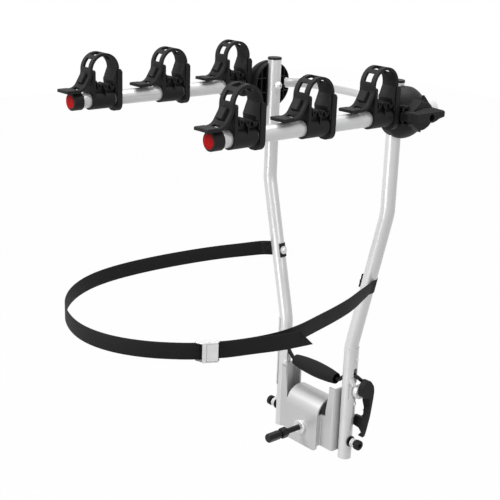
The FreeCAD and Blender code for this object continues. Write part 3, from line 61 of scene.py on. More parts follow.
# %% [markdown]
# The camera stands where the photographer's did: off the arms' ends and to their right,
# higher than the mast, and it looks down a little through a moderate telephoto lens. Its
# axes are worked out from three angles, so that each can be understood and changed by
# itself.

# %% Camera
CAMERA_PLACE = Vector((1.50986, -1.5215, 1.05822))
CAMERA_YAW = math.radians(48.74)
CAMERA_PITCH = math.radians(17.55)
CAMERA_ROLL = math.radians(1.99)
FOCAL_LENGTH = 78.95
SENSOR_WIDTH = 36.0


def camera_axes():
    forward = Vector((-math.sin(CAMERA_YAW) * math.cos(CAMERA_PITCH),
                      math.cos(CAMERA_YAW) * math.cos(CAMERA_PITCH), -math.sin(CAMERA_PITCH)))
    level = Vector((math.cos(CAMERA_YAW), math.sin(CAMERA_YAW), 0))
    upright = level.cross(forward)
    right = level * math.cos(CAMERA_ROLL) + upright * math.sin(CAMERA_ROLL)
    up = upright * math.cos(CAMERA_ROLL) - level * math.sin(CAMERA_ROLL)
    return right, up, forward


def in_scene(name, data):
    """A new object in the scene, which holds a lens, a lamp or a mesh."""
    made = bpy.data.objects.new(name, data)
    bpy.context.scene.collection.objects.link(made)
    return made


right, up, forward = camera_axes()
lens = bpy.data.cameras.new("camera")
lens.lens = FOCAL_LENGTH
lens.sensor_width = SENSOR_WIDTH
camera = in_scene("camera", lens)
turn = Matrix((right, up, -forward)).transposed().to_4x4()
camera.matrix_world = Matrix.Translation(CAMERA_PLACE) @ turn
bpy.context.scene.camera = camera
print("camera at", [round(v, 3) for v in CAMERA_PLACE], "lens", lens.lens, "mm")

# %% [markdown]
# The rack hangs on a tow ball, so the floor lies well below it and only a soft shadow
# reaches it. It is one large square face, made from its four corners.

# %% Floor
FLOOR_Z = -0.42
FLOOR_HALF = 6.0


def mesh_object(name, vertices, edges=(), faces=()):
    """A mesh object at the origin, made from points and from edges or faces."""
    mesh = bpy.data.meshes.new(name)
    mesh.from_pydata([tuple(v) for v in vertices], edges, faces)
    mesh.update()
    return in_scene(name, mesh)


corners = [(-FLOOR_HALF, -FLOOR_HALF, FLOOR_Z), (FLOOR_HALF, -FLOOR_HALF, FLOOR_Z),
           (FLOOR_HALF, FLOOR_HALF, FLOOR_Z), (-FLOOR_HALF, FLOOR_HALF, FLOOR_Z)]
floor = mesh_object("floor", corners, faces=[(0, 1, 2, 3)])
print("floor at", FLOOR_Z, "m")

# %% [markdown]
# Every finish below is a small tree of shader nodes. Written out node by node, they
# would fill pages, so two helpers take that up. Shader adds a node and gives its output,
# and Value is such an output, on which Python's plus and times add the Math nodes.

# %% Helpers for shader nodes
class Value:
    """A number in a shader: Python operators on it add Math nodes."""

    def __init__(self, shader, socket):
        self.shader = shader
        self.socket = socket

    def _math(self, operation, *values):
        return self.shader.node("ShaderNodeMath", {"operation": operation}, list(values))

    def __add__(self, other):
        return self._math("ADD", self, other)

    def __mul__(self, other):
        return self._math("MULTIPLY", self, other)

    def __rsub__(self, other):
        return self._math("SUBTRACT", other, self)

    __radd__ = __add__

    def sine(self):
        return self._math("SINE", self)

    def absolute(self):
        return self._math("ABSOLUTE", self)

    def most(self, other):
        return self._math("MAXIMUM", self, other)

    def above(self, edge, width):
        """0 below edge, 1 above edge + width, with a soft step between."""
        return self.shader.node("ShaderNodeMapRange", {"interpolation_type": "SMOOTHSTEP", "clamp": True},
                                [self, edge, edge + width, 0.0, 1.0])


class Shader:
    """A node tree that is being written: node() adds one node and gives its output."""

    def __init__(self, tree, principled=None):
        self.tree = tree
        self.principled = principled

    def feed(self, socket, value):
        """Link an input to a Value, or set it to a plain number or colour."""
        if isinstance(value, Value):
            self.tree.links.new(value.socket, socket)
        else:
            socket.default_value = value

    def node(self, kind, settings=None, values=(), output=0):
        made = self.tree.nodes.new(kind)
        for key, value in (settings or {}).items():
            setattr(made, key, value)
        pairs = values.items() if isinstance(values, dict) else enumerate(values)
        for key, value in pairs:
            self.feed(made.inputs[key], value)
        return Value(self, made.outputs[output])

    def noise(self, place, scale, detail):
        """A noise whose grain is about one over scale across, in metres."""
        return self.node("ShaderNodeTexNoise", {}, {"Vector": place, "Scale": scale, "Detail": detail,
                                                    "Roughness": 0.5})

    def mix(self, factor, first, second):
        """A colour between two colours."""
        return self.node("ShaderNodeMix", {"data_type": "RGBA"}, {0: factor, 6: first, 7: second}, output=2)

    def bump(self, height, distance):
        """A normal that follows a height of 0 to 1, whose full depth is distance."""
        return self.node("ShaderNodeBump", {}, {"Height": height, "Distance": distance, "Strength": 1.0})

    def place(self):
        return self.node("ShaderNodeTexCoord", output="Object")

    def axes(self, vector):
        """The three parts of a vector."""
        split = self.node("ShaderNodeSeparateXYZ", {}, [vector])
        outputs = split.socket.node.outputs
        return [Value(self, outputs[k]) for k in range(3)]

    def set(self, **inputs):
        """Give the Principled shader its values and links."""
        for key, value in inputs.items():
            self.feed(self.principled.inputs[key.replace("_", " ")], value)


def new_finish(name):
    """A material and the Shader that writes its nodes."""
    material = bpy.data.materials.new(name)
    material.use_nodes = True
    return material, Shader(material.node_tree, material.node_tree.nodes["Principled BSDF"])


def tell(*finishes):
    """Print how many nodes each finish has."""
    for finish in finishes:
        print(finish.name, "has", len(finish.node_tree.nodes), "nodes")


def seen_directly(shader):
    """1 where the camera, a mirror or a glass looks at this surface, and 0 for lighting."""
    path = shader.node("ShaderNodeLightPath", output="Is Camera Ray")
    outputs = path.socket.node.outputs
    glossy = Value(shader, outputs["Is Glossy Ray"])
    through = Value(shader, outputs["Is Transmission Ray"])
    return path.most(glossy).most(through)


# %% [markdown]
# Floor and world are white to the camera, but light the rack with a plain grey: Light
# Path tells the two uses apart, so the paint keeps its own brightness. The floor keeps
# a little of its grey for the camera too, and with that a faint shadow.

# %% White surroundings
FLOOR_GREY = (0.42, 0.42, 0.42, 1)
FLOOR_WHITE = 0.985
WORLD_GREY = (0.9, 0.92, 0.95, 1)
WORLD_LIGHT = 0.25

world = bpy.data.worlds.new("studio")
bpy.context.scene.world = world
world.use_nodes = True
sky = Shader(world.node_tree)
background = world.node_tree.nodes["Background"]
seen = seen_directly(sky)
sky_colour = sky.mix(seen, WORLD_GREY, (1, 1, 1, 1))
world.node_tree.links.new(sky_colour.socket, background.inputs["Color"])
sky_strength = seen * (1.0 - WORLD_LIGHT) + WORLD_LIGHT
world.node_tree.links.new(sky_strength.socket, background.inputs["Strength"])

floor_paint, shader = new_finish("floor_paint")
glow = shader.node("ShaderNodeEmission", {}, {"Color": (1, 1, 1, 1), "Strength": 1.0})
shader.set(Base_Color=FLOOR_GREY, Roughness=0.9)
white = shader.node("ShaderNodeMixShader", {}, {0: seen_directly(shader) * FLOOR_WHITE})
links = floor_paint.node_tree.links
mix_shader = white.socket.node
links.new(shader.principled.outputs[0], mix_shader.inputs[1])
links.new(glow.socket, mix_shader.inputs[2])
links.new(white.socket, floor_paint.node_tree.nodes["Material Output"].inputs["Surface"])
floor.data.materials.append(floor_paint)
bpy.context.scene.view_settings.view_transform = "Standard"
print("world light:", WORLD_LIGHT)
tell(floor_paint)

# %% [markdown]
# Four large soft lamps do the work of a product studio. The key lamp stands high on
# the camera's left, a weaker one fills from the right, and one overhead lights what is
# level. An upright tube mirrors what lies below the camera's line of sight, so a low
# lamp draws the long highlight that makes the uprights read as round.

# %% Lamps
LAMPS = {"key": ((-0.9, -2.4, 2.4), 1.1, 82.0), "fill": ((2.8, -0.4, 1.3), 1.0, 18.0),
         "top": ((0.1, 0.4, 3.0), 1.8, 60.0), "low": ((0.1, -2.7, -0.1), 0.55, 13.0)}
LOOK_AT = Vector((0, -0.15, 0.35))
for name, (place, size, watts) in LAMPS.items():
    light = bpy.data.lights.new(name, "AREA")
    light.energy = watts
    light.size = size
    lamp = in_scene(name, light)
    lamp.location = place
    lamp.rotation_euler = (LOOK_AT - Vector(place)).to_track_quat("-Z", "Y").to_euler()
print("lamps:", ", ".join(LAMPS))

# %% [markdown]
# The tubes and the side plates wear a satin silver powder coat. Such paint is not a
# mirror: it has a fine grain of flakes that breaks the highlight up, and a ripple like
# orange peel, a few millimetres across. Both are bumps on Object coordinates, in metres.

# %% Silver coat
silver_coat, shader = new_finish("silver_coat")
place = shader.place()
flakes = shader.noise(place, 2600.0, 1.0)
peel = shader.noise(place, 320.0, 2.0)
cloud = shader.noise(place, 9.0, 3.0)
shader.set(Base_Color=shader.mix(cloud, (0.63, 0.63, 0.625, 1), (0.69, 0.69, 0.685, 1)),
           Roughness=cloud * 0.08 + flakes * 0.10 + 0.25, Metallic=0.35,
           Normal=shader.bump(flakes * 0.35 + peel, 0.00006), Coat_Weight=0.25, Coat_Roughness=0.3)
tell(silver_coat)

# %% [markdown]
# The pressed bracket is bare of that paint. It was brushed instead, so it is greyer and
# carries fine streaks across its width. The noise is given coordinates that hardly
# change along X, which draws its grain out into streaks.

# %% Brushed bracket
BRUSH_STRETCH = 0.03

brushed_steel, shader = new_finish("brushed_steel")
wide, deep, high = shader.axes(shader.place())
drawn_out = shader.node("ShaderNodeCombineXYZ", {}, {0: wide * BRUSH_STRETCH, 1: deep, 2: high})
streaks = shader.noise(drawn_out, 1500.0, 3.0)
cloud = shader.noise(shader.place(), 14.0, 2.0)
shader.set(Base_Color=shader.mix(streaks * 0.5 + cloud * 0.5, (0.46, 0.46, 0.46, 1), (0.60, 0.60, 0.595, 1)),
           Roughness=streaks * 0.12 + 0.36, Metallic=0.40, Normal=shader.bump(streaks, 0.00004))
tell(brushed_steel)

# %% [markdown]
# Nuts, springs, rivets, most of the bolts and the buckle are zinc plated steel. Plating
# is bright where fingers and tools rub it and dull in between, so one noise drives both
# the colour and the roughness. The clamp screw, the handle's rod and the pivot bolts are
# blackened, with a rubbed patch here and there.

# %% Plated and blackened steel
plated_steel, shader = new_finish("plated_steel")
place = shader.place()
wear = shader.noise(place, 60.0, 3.0).above(0.42, 0.4)
fine = shader.noise(place, 1800.0, 2.0)
shader.set(Base_Color=shader.mix(wear, (0.72, 0.72, 0.72, 1), (0.80, 0.80, 0.79, 1)), Metallic=0.55,
           Roughness=0.40 - wear * 0.06 + fine * 0.06, Normal=shader.bump(fine, 0.00003))

black_steel, shader = new_finish("black_steel")
place = shader.place()
rub = shader.noise(place, 90.0, 4.0).above(0.55, 0.2)
fine = shader.noise(place, 1500.0, 2.0)
shader.set(Base_Color=shader.mix(rub, (0.009, 0.009, 0.010, 1), (0.022, 0.022, 0.023, 1)), Metallic=0.25,
           Roughness=0.40 - rub * 0.12, Normal=shader.bump(fine, 0.00004), Specular_IOR_Level=0.25)
tell(plated_steel, black_steel)

# %% [markdown]
# Hubs, cradles, caps and levers are moulded in glass-filled nylon. The mould is spark
# eroded, which leaves an even, fine leather-like grain: two sizes of noise, the finer
# one stronger. The grain also scatters the highlight, so the roughness is fairly high.

# %% Moulded black plastic
black_plastic, shader = new_finish("black_plastic")
place = shader.place()
grain = shader.noise(place, 1400.0, 2.0)
swirl = shader.noise(place, 45.0, 3.0)
shader.set(Base_Color=shader.mix(swirl, (0.006, 0.006, 0.0068, 1), (0.011, 0.011, 0.012, 1)),
           Roughness=0.44 + grain * 0.14 + swirl * 0.05, Normal=shader.bump(grain + swirl * 0.4, 0.00009),
           Specular_IOR_Level=0.17)
tell(black_plastic)

# %% [markdown]
# The rubber of straps and pads is duller than the nylon beside it. Dust and handling
# leave faint lighter patches.

# %% Rubber
black_rubber, shader = new_finish("black_rubber")
place = shader.place()
patch = shader.noise(place, 60.0, 4.0).above(0.45, 0.3)
grain = shader.noise(place, 900.0, 2.0)
shader.set(Base_Color=shader.mix(patch, (0.007, 0.0069, 0.007, 1), (0.014, 0.014, 0.0143, 1)),
           Roughness=0.58 + grain * 0.12, Normal=shader.bump(grain, 0.00005), Specular_IOR_Level=0.20)
tell(black_rubber)

# %% [markdown]
# The reflector is red plastic, and a pattern of small cells covers its face. The cells
# are modelled further on. The finish has little shine of its own, so the red stays deep
# under the lamps.

# %% Reflector red
reflector_red, shader = new_finish("reflector_red")
place = shader.place()
depth = shader.noise(place, 300.0, 2.0)
shader.set(Base_Color=shader.mix(depth, (0.30, 0.001, 0.002, 1), (0.42, 0.002, 0.003, 1)), Roughness=0.30,
           Specular_IOR_Level=0.08)
tell(reflector_red)

# %% [markdown]
# The cup that sits on the ball is a plain casting: dark, rough, with a sandy skin.

# %% Cast iron
cast_iron, shader = new_finish("cast_iron")
place = shader.place()
sand = shader.noise(place, 700.0, 4.0)
shader.set(Base_Color=shader.mix(sand, (0.05, 0.05, 0.052, 1), (0.11, 0.11, 0.112, 1)), Metallic=0.6,
           Roughness=0.62, Normal=shader.bump(sand, 0.0002))
tell(cast_iron)

# %% [markdown]
# The record names a material slot for each solid, so one table from slots to finishes
# paints them all. Foam and webbing get a finish here too, although softer pieces take
# the place of those solids further on.

# %% Paint the solids by the material slots of the record
FINISH_OF_SLOT = {"silver_coat": silver_coat, "plated_steel": plated_steel, "black_steel": black_steel,
                  "cast_cup": cast_iron, "black_plastic": black_plastic, "black_rubber": black_rubber,
                  "foam": black_rubber, "webbing": black_rubber, "red_plastic": reflector_red}
slot_of = {entry["node"]: entry["material_slot"] for entry in frame["record"]["subparts"]}
for name, node in NODES.items():
    for k in range(len(node.material_slots)):
        node.material_slots[k].material = FINISH_OF_SLOT[slot_of[name]]
# Two solids depart from their slot: the lock lever's pin is blackened, and the bracket brushed
for name, finish in (("lever_pin", black_steel), ("saddle_bracket", brushed_steel)):
    for part in NODES[name].material_slots:
        part.material = finish
print("painted", len(NODES), "solids")

# %% [markdown]
# Webbing is woven from heavy polyester yarn: fine ribs run along it, each crossed by the
# weft at a slant. The ribbons carry a UV map in metres, so the pattern follows them
# round every bend, which Object coordinates couldn't do.

# %% Webbing
WARP_PITCH = 0.0011
WEFT_PITCH = 0.0016
WEFT_SLANT = 0.6

webbing_black, shader = new_finish("webbing_black")
along, across = shader.axes(shader.node("ShaderNodeUVMap", {"uv_map": "weave"}))[:2]
rib = (across * (2 * math.pi / WARP_PITCH)).sine().absolute()
slant = ((along + across * WEFT_SLANT) * (2 * math.pi / WEFT_PITCH)).sine()
weave = rib * 0.7 + slant * 0.3
fuzz = shader.noise(shader.place(), 500.0, 3.0)
shade = weave * 0.5 + fuzz * 0.4
shader.set(Base_Color=shader.mix(shade, (0.004, 0.004, 0.004, 1), (0.010, 0.010, 0.010, 1)),
           Roughness=0.62 + fuzz * 0.12, Normal=shader.bump(weave, 0.00012), Specular_IOR_Level=0.18)
tell(webbing_black)

# %% [markdown]
# A ribbon is the easiest soft piece to build by rule: a line gives its middle, an up
# direction its width, and a flat eight-sided section its thickness. The line itself is
# a NURBS spline that a few listed control points pull into place, so its curvature
# changes slowly, as in a real stiff strap, and only the turns round the tubes are true
# arcs.

# %% Helpers for ribbons
WEB_THICK = 0.0016
WEB_WIDTH = 0.030
STRAP_Z = 0.353
RIBBON_STEP = 0.006
SPLINE_STEPS = 14
# Distance from the middle and height of the two bends, between which a tube slopes
LOW_BEND = (0.0975, 0.208)
HIGH_BEND = (0.168, 0.505)
TUBE_SLOPE = math.atan2(HIGH_BEND[0] - LOW_BEND[0], HIGH_BEND[1] - LOW_BEND[1])


def smooth_line(points):
    """Points of the NURBS spline that has these control points."""
    curve = bpy.data.curves.new("route", "CURVE")
    curve.dimensions = "3D"
    spline = curve.splines.new("NURBS")
    spline.points.add(len(points) - 1)
    for point, place in zip(spline.points, points):
        point.co = (*place, 1.0)
    spline.order_u = 3
    spline.use_endpoint_u = True
    spline.resolution_u = SPLINE_STEPS
    holder = bpy.data.objects.new("route", curve)
    mesh = bpy.data.meshes.new_from_object(holder)
    line = [v.co.copy() for v in mesh.vertices]
    bpy.data.objects.remove(holder)
    return line


def evenly(line, step):
    """The same line in equal steps, with the distance of each point from its start."""
    length = sum((b - a).length for a, b in zip(line, line[1:]))
    count = max(2, round(length / step))
    points, distances = [line[0]], [0.0]
    k, passed = 0, 0.0
    for n in range(1, count):
        wanted = length * n / count
        while passed + (line[k + 1] - line[k]).length < wanted:
            passed += (line[k + 1] - line[k]).length
            k += 1
        run = line[k + 1] - line[k]
        points.append(line[k] + run * ((wanted - passed) / run.length))
        distances.append(wanted)
    return points + [line[-1]], distances + [length]


def smoothed(value):
    """An even rise from 0 to 1, eased in and out."""
    value = min(max(value, 0.0), 1.0)
    return value * value * (3 - 2 * value)


SECTION = [(-0.5, -0.25), (-0.49, 0.35), (-0.475, 0.5), (0.475, 0.5), (0.49, 0.35), (0.5, -0.25),
           (0.475, -0.5), (-0.475, -0.5)]


def mapped_face(made, layer, corners):
    """A face of a bmesh between corners that each hold a vertex, its U and its V."""
    face = made.faces.new([corner[0] for corner in corners])
    for loop, corner in zip(face.loops, corners):
        loop[layer].uv = corner[1:]
    return face


def skin_object(name, made):
    """An object from a bmesh, with all its faces turned outwards."""
    bmesh.ops.recalc_face_normals(made, faces=made.faces)
    mesh = bpy.data.meshes.new(name)
    made.to_mesh(mesh)
    made.free()
    return in_scene(name, mesh)


def ribbon(name, points, distances, up_at, trim=0.0):
    """A closed strip of webbing along points; trim cuts its last end at a slant, by that much at the top."""
    made = bmesh.new()
    layer = made.loops.layers.uv.new("weave")
    rings = []
    for k, point in enumerate(points):
        ahead = points[min(k + 1, len(points) - 1)] - points[max(k - 1, 0)]
        up = up_at(distances[k])
        out = ahead.cross(up).normalized()
        up = out.cross(ahead).normalized()
        ahead.normalize()
        left = distances[-1] - distances[k]
        ring = []
        for across, through in SECTION:
            back = max(0.0, trim * (across + 0.5) - left) if trim else 0.0
            place = point + up * (across * WEB_WIDTH) + out * (through * WEB_THICK) - ahead * back
            ring.append((made.verts.new(place), distances[k] - back, across * WEB_WIDTH))
        rings.append(ring)
    size = len(SECTION)
    for first, second in zip(rings, rings[1:]):
        for n in range(size):
            m = (n + 1) % size
            mapped_face(made, layer, [first[n], first[m], second[m], second[n]]).smooth = True
    mapped_face(made, layer, rings[0][::-1])
    mapped_face(made, layer, rings[-1])
    return skin_object(name, made)


# %% [markdown]
# The long strap is bolted to the inside of the left upright and goes round its back.
# Near the upright it lies in line with the sloping tube, and further out it stands
# upright. It runs through the buckle and ends beyond it as a loose tail, which droops.

# %% The long strap
TUBE_X = 0.13192
WRAP_R = 0.0149
WRAP_STEPS = 24
LONG_END = 0.009
LONG_ROUTE = [(-0.1392, 0.0129), (-0.1645, -0.0015), (-0.177, -0.0535), (-0.195, -0.1245), (-0.2075, -0.215),
              (-0.2115, -0.300), (-0.2065, -0.377), (-0.189, -0.442), (-0.1535, -0.501), (-0.101, -0.5495),
              (-0.0405, -0.580), (0.024, -0.593), (0.0885, -0.582), (0.147, -0.5475), (0.1937, -0.497),
              (0.2102, -0.467), (0.2267, -0.437), (0.241, -0.3885), (0.2505, -0.3505), (0.255, -0.318),
              (0.2565, -0.268)]
EASED_POINTS = 3
TAIL_SLANT = 0.035
TAIL_LENGTH = 0.150
# The tail would sink by TAIL_DROOP over TAIL_EASE, but it is only TAIL_LENGTH long
TAIL_DROOP = 0.0096
TAIL_EASE = 0.240


def tube_up(side):
    return Vector((side * math.sin(TUBE_SLOPE), 0, math.cos(TUBE_SLOPE)))


def upright_after(side, start, end):
    """The up direction: along the tube as far as start, and vertical from end."""
    def up_at(distance):
        share = smoothed((distance - start) / (end - start))
        return tube_up(side).lerp(Vector((0, 0, 1)), share)
    return up_at


def wrap_arc(side, start, end, straight):
    """Points round an upright, from one angle to another, after a straight end for the bolt."""
    ahead = tube_up(side)
    across = Vector((0, 1, 0)).cross(ahead).normalized()
    centre = Vector((side * TUBE_X, 0, STRAP_Z))
    points = []
    for n in range(WRAP_STEPS + 1):
        angle = math.radians(start + (end - start) * n / WRAP_STEPS)
        points.append(centre + across * (math.cos(angle) * WRAP_R) + Vector((0, math.sin(angle) * WRAP_R, 0)))
    return [points[0] - Vector((0, straight, 0))] + points


def route(points, first_z):
    """The points at the strap's height, of which the first are eased from the height of a wrap's end."""
    placed = []
    for k, (x, y) in enumerate(points):
        share = max(0.0, 1 - k / EASED_POINTS)
        placed.append(Vector((x, y, STRAP_Z + (first_z - STRAP_Z) * share)))
    return placed


wrap = wrap_arc(-1, 0, 120, LONG_END)
long_line = wrap[:-1] + smooth_line(route(LONG_ROUTE, wrap[-1].z))
long_points, long_distances = evenly(long_line, RIBBON_STEP)
LONG_LENGTH = long_distances[-1]
for point, distance in zip(long_points, long_distances):
    point.z -= TAIL_DROOP * smoothed((distance - (LONG_LENGTH - TAIL_LENGTH)) / TAIL_EASE)
long_up = upright_after(-1, 0.05, 0.16)
long_strap = ribbon("long_strap", long_points, long_distances, long_up, trim=TAIL_SLANT)
print("long strap:", round(LONG_LENGTH, 3), "m,", len(long_points), "sections")

# %% [markdown]
# The short strap comes from the right upright, where it is bolted to the inside and goes
# round the back of the tube, and it ends inside the buckle. Both straps stand in for
# solids of the CAD.

# %% The short strap
SHORT_END = 0.008
SHORT_ROUTE = [(0.1464, 0.0), (0.1478, -0.010), (0.1560, -0.024), (0.176, -0.068), (0.199, -0.122),
               (0.217, -0.185), (0.230, -0.240), (0.2395, -0.278), (0.244, -0.310), (0.245, -0.345),
               (0.239, -0.388), (0.225, -0.436), (0.214, -0.456), (0.2058, -0.471)]

wrap = wrap_arc(1, 180, 0, SHORT_END)
short_line = wrap[:-1] + smooth_line(route(SHORT_ROUTE, wrap[-1].z))
short_points, short_distances = evenly(short_line, RIBBON_STEP)
short_up = upright_after(1, 0.06, 0.17)
short_strap = ribbon("short_strap", short_points, short_distances, short_up)
print("short strap:", round(short_distances[-1], 3), "m")

for strap, cad_nodes, length in ((long_strap, ["long_webbing", "left_web_end"], LONG_LENGTH),
                                 (short_strap, ["short_webbing", "right_web_end"], short_distances[-1])):
    strap.data.materials.append(webbing_black)
    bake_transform(strap)
    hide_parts(*cad_nodes)

# %% [markdown]
# Some things repeat: the cells of a reflector and the stitches along a seam. Geometry
# Nodes make those. This helper writes such a tree with named inputs for its sizes, runs
# it once on a mesh, and hands back a plain mesh object, because a model that leaves
# Blender can't take instances with it.

# %% Helper for repeated pieces
class Recipe:
    """A Geometry Nodes tree that is being written, with named inputs for its sizes."""

    def __init__(self, name):
        self.tree = bpy.data.node_groups.new(name, "GeometryNodeTree")
        face = self.tree.interface
        face.new_socket("Geometry", in_out="INPUT", socket_type="NodeSocketGeometry")
        face.new_socket("Geometry", in_out="OUTPUT", socket_type="NodeSocketGeometry")
        self.start = self.tree.nodes.new("NodeGroupInput")
        self.end = self.tree.nodes.new("NodeGroupOutput")
        self.sizes = {}

    def size(self, name, value):
        """A named input of the tree, which gets this value when the tree runs."""
        socket = self.tree.interface.new_socket(name, in_out="INPUT", socket_type="NodeSocketFloat")
        self.sizes[socket.identifier] = value
        return self.start.outputs[name]

    def source(self):
        return self.start.outputs["Geometry"]

    def add(self, kind, settings=None, inputs=None):
        """Add a node and give its first output."""
        made = self.tree.nodes.new(kind)
        for key, value in (settings or {}).items():
            setattr(made, key, value)
        for key, value in (inputs or {}).items():
            if isinstance(value, bpy.types.NodeSocket):
                self.tree.links.new(value, made.inputs[key])
            else:
                made.inputs[key].default_value = value
        return made.outputs[0]

    def finish(self, instances, material):
        """Make the instances real, paint them and end the tree there."""
        real = self.add("GeometryNodeRealizeInstances", {}, {"Geometry": instances})
        done = self.add("GeometryNodeSetMaterial", {}, {"Geometry": real, "Material": material})
        self.tree.links.new(done, self.end.inputs["Geometry"])

    def run(self, source):
        """Run the tree on an object, and put the result in that object as a plain mesh."""
        modifier = source.modifiers.new("recipe", "NODES")
        modifier.node_group = self.tree
        for identifier, value in self.sizes.items():
            modifier[identifier] = value
        graph = bpy.context.evaluated_depsgraph_get()
        mesh = bpy.data.meshes.new_from_object(source.evaluated_get(graph))
        source.modifiers.remove(modifier)
        source.data = mesh
        return source


# %% [markdown]
# The carrying grip is a barrel of foam round the handle's rod. Its ends are open, so
# the rod is seen going in. One outline of distance and radius, turned round the rod,
# gives the barrel, the rounded rims and the hollow mouths in one closed skin. Foam is
# never quite even, so a slow noise moves its skin in and out by a hair's breadth.

# %% Foam grip
GRIP_Z = 0.1235
GRIP_HALF = 0.0618
GRIP_MIDDLE_R = 0.0168
GRIP_DROP = 0.0050
MOUTH_DEPTH = 0.012
MOUTH_R = 0.0102
ROD_HOLE_R = 0.00415
RIM = 0.0012
BARREL_STEPS = 18
SEGMENTS = 64
UNEVEN = 0.0002
UNEVEN_SCALE = 55.0

foam_black, shader = new_finish("foam_black")
place = shader.place()
pores = shader.node("ShaderNodeTexVoronoi", {}, {"Vector": place, "Scale": 1300.0})
bruise = shader.noise(place, 70.0, 3.0)
shader.set(Base_Color=shader.mix(bruise, (0.008, 0.008, 0.0084, 1), (0.015, 0.015, 0.0155, 1)),
           Roughness=0.80 + bruise * 0.10, Normal=shader.bump(pores + bruise * 0.5, 0.00012),
           Specular_IOR_Level=0.18)
tell(foam_black)


def grip_outline():
    """Distance along the rod and radius, from the middle of the barrel to the rod's hole."""
    outside = []
    for n in range(BARREL_STEPS + 1):
        share = n / BARREL_STEPS
        outside.append((share * (GRIP_HALF - RIM), GRIP_MIDDLE_R - GRIP_DROP * share * share))
    last = outside[-1][1]
    rim = [(GRIP_HALF - RIM / 3, last - RIM / 4), (GRIP_HALF, last - RIM * 2 / 3),
           (GRIP_HALF - RIM / 6, MOUTH_R + RIM / 6), (GRIP_HALF - RIM, MOUTH_R)]
    bottom = GRIP_HALF - MOUTH_DEPTH
    inside = [(GRIP_HALF - MOUTH_DEPTH / 2, MOUTH_R - 0.0001), (bottom + 0.00096, MOUTH_R - 0.0004),
              (bottom, MOUTH_R - 0.0016), (bottom, ROD_HOLE_R + 0.0004), (bottom - 0.0004, ROD_HOLE_R)]
    half = outside + rim + inside
    return [(-x, r) for x, r in reversed(half[1:])] + half


def turned_skin(name, outline):
    """A closed outline of distance along X and radius, turned round X; its outer side is uneven."""
    made = bmesh.new()
    rings = []
    for k in range(SEGMENTS):
        angle = 2 * math.pi * k / SEGMENTS
        outwards = Vector((0, math.cos(angle), math.sin(angle)))
        ring = []
        for x, r in outline:
            place = Vector((x, 0, 0)) + outwards * r
            shift = noise.noise(place * UNEVEN_SCALE) * UNEVEN if r > MOUTH_R + RIM else 0.0
            ring.append(made.verts.new(place + outwards * shift))
        rings.append(ring)
    count = len(outline)
    for first, second in zip(rings, rings[1:] + rings[:1]):
        for n in range(count):
            m = (n + 1) % count
            made.faces.new((first[n], first[m], second[m], second[n])).smooth = True
    return skin_object(name, made)


grip = turned_skin("foam_barrel", grip_outline())
grip.data.transform(Matrix.Translation((0, 0, GRIP_Z)))
grip.data.materials.append(foam_black)
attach(grip, "handle")
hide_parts("foam_grip")
print("foam grip:", len(grip.data.polygons), "faces")

# %% [markdown]
# A reflector's face is covered in small cells that send light back. A grid of points,
# cut to a disc, carries one flat six-sided cone on each point. The cones' feet are a
# little wider than half a pitch, so no gap is left between them.

# %% Reflector cells
ARM_X = 0.202
HUB_Z = 0.702
REFLECTOR_FACE_Y = -0.4676
CELL_PITCH = 0.0021
CELL_DISC_R = 0.0112
CELL_HEIGHT = 0.00045
CELL_TIP_R = 0.00012
CELL_FOOT_SHARE = 0.56
ROWS_EACH_WAY = 6
COLUMNS_EACH_WAY = 7

cells = Recipe("reflector_cells")
pitch = cells.size("Pitch", CELL_PITCH)
height = cells.size("Height", CELL_HEIGHT)
foot_r = cells.add("ShaderNodeMath", {"operation": "MULTIPLY"}, {0: pitch, 1: CELL_FOOT_SHARE})
cone = cells.add("GeometryNodeMeshCone", {}, {"Vertices": 6, "Depth": height,
                                              "Radius Top": CELL_TIP_R, "Radius Bottom": foot_r})
facing = cells.add("FunctionNodeEulerToRotation", {}, {"Euler": (math.radians(90), 0, 0)})
dots = cells.add("GeometryNodeMeshToPoints", {}, {"Mesh": cells.source()})
put = cells.add("GeometryNodeInstanceOnPoints", {}, {"Points": dots, "Instance": cone, "Rotation": facing})
cells.finish(put, reflector_red)

spots = []
for side in (-1, 1):
    for row in range(-ROWS_EACH_WAY, ROWS_EACH_WAY + 1):
        for column in range(-COLUMNS_EACH_WAY, COLUMNS_EACH_WAY + 1):
            x = (column + 0.5 * (row % 2)) * CELL_PITCH
            z = row * CELL_PITCH * math.sqrt(3) / 2
            if math.hypot(x, z) < CELL_DISC_R:
                spots.append((side * ARM_X + x, REFLECTOR_FACE_Y, HUB_Z + z))
prisms = cells.run(mesh_object("reflector_prisms", spots))
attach(prisms, "arms")
print("reflector prisms:", len(spots), "on two faces,", len(prisms.data.polygons), "faces")

# %% [markdown]
# Each strap is sewn just off its upright: a box of stitches with a cross in it. The
# seam's lines are edges that lie on the strap, and the tree sets one short rounded
# stitch after another along them.

# %% Stitches
STITCH_LENGTH = 0.0026
THREAD_R = 0.00035
SEAM_INSET = 0.0035
SEAM_LENGTH = 0.022
LONG_SEAM_START = 0.058
SHORT_SEAM_START = 0.085
STITCH_SHARE = 0.80
THREAD_PROUD = 0.4

thread, shader = new_finish("sewing_thread")
twist = shader.noise(shader.place(), 2500.0, 2.0)
shader.set(Base_Color=shader.mix(twist, (0.020, 0.020, 0.021, 1), (0.060, 0.060, 0.062, 1)),
           Roughness=0.5 + twist * 0.2, Normal=shader.bump(twist, 0.00005))
tell(thread)

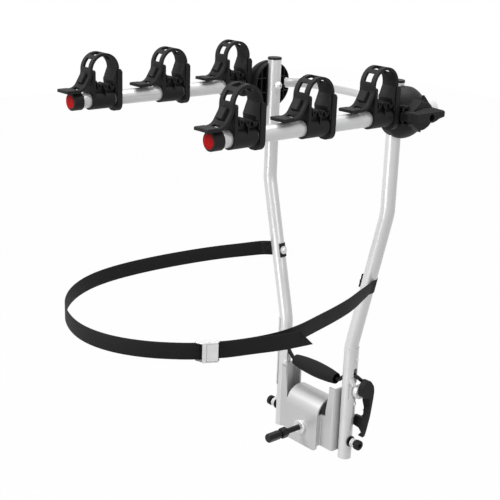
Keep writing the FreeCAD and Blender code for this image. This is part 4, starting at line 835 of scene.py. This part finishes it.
seam = Recipe("stitches")
step = seam.size("Stitch length", STITCH_LENGTH)
radius = seam.size("Thread radius", THREAD_R)
body_length = seam.add("ShaderNodeMath", {"operation": "MULTIPLY"}, {0: step, 1: STITCH_SHARE})
rows = seam.add("GeometryNodeMeshToCurve", {}, {"Mesh": seam.source()})
steps = seam.add("GeometryNodeResampleCurve", {"mode": "LENGTH"}, {"Curve": rows, "Length": step})
bead = seam.add("GeometryNodeMeshUVSphere", {}, {"Segments": 6, "Rings": 5, "Radius": 1.0})
half_length = seam.add("ShaderNodeMath", {"operation": "MULTIPLY"}, {0: body_length, 1: 0.5})
bead_size = seam.add("ShaderNodeCombineXYZ", {}, {0: radius, 1: radius, 2: half_length})
along = seam.add("GeometryNodeInputTangent")
way = seam.add("FunctionNodeAlignRotationToVector", {"axis": "Z"}, {"Vector": along})
put = seam.add("GeometryNodeInstanceOnPoints", {}, {"Points": steps, "Instance": bead, "Rotation": way,
                                                    "Scale": bead_size})
seam.finish(put, thread)


def seam_lines(points, distances, up_at, start, outwards):
    """Corners and edges of a crossed box on a ribbon, on its outer or its inner side."""
    def spot(distance, across):
        k = min(range(len(points)), key=lambda n: abs(distances[n] - distance))
        ahead = points[min(k + 1, len(points) - 1)] - points[max(k - 1, 0)]
        up = up_at(distances[k])
        out = ahead.cross(up).normalized()
        ahead.normalize()
        place = points[k] + ahead * (distance - distances[k])
        return place + up * across + out * (outwards * (WEB_THICK / 2 + THREAD_R * THREAD_PROUD))

    half = WEB_WIDTH / 2 - SEAM_INSET
    end = start + SEAM_LENGTH
    corners = [spot(start, -half), spot(start, half), spot(end, half), spot(end, -half)]
    return corners, [(0, 1), (1, 2), (2, 3), (3, 0), (0, 2), (1, 3)]


def sew(name, points, distances, up_at, start):
    """Stitches through a strap, seen on both of its sides."""
    vertices, edges = [], []
    for outwards in (-1, 1):
        corners, lines = seam_lines(points, distances, up_at, start, outwards)
        for a, b in lines:
            edges.append((len(vertices), len(vertices) + 1))
            vertices += [corners[a], corners[b]]
    return seam.run(mesh_object(name, vertices, edges=edges))


long_seam = sew("long_strap_stitches", long_points, long_distances, long_up, LONG_SEAM_START)
short_seam = sew("short_strap_stitches", short_points, short_distances, short_up, SHORT_SEAM_START)
for piece in (long_seam, short_seam):
    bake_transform(piece)
    print(piece.name, len(piece.data.polygons), "faces")
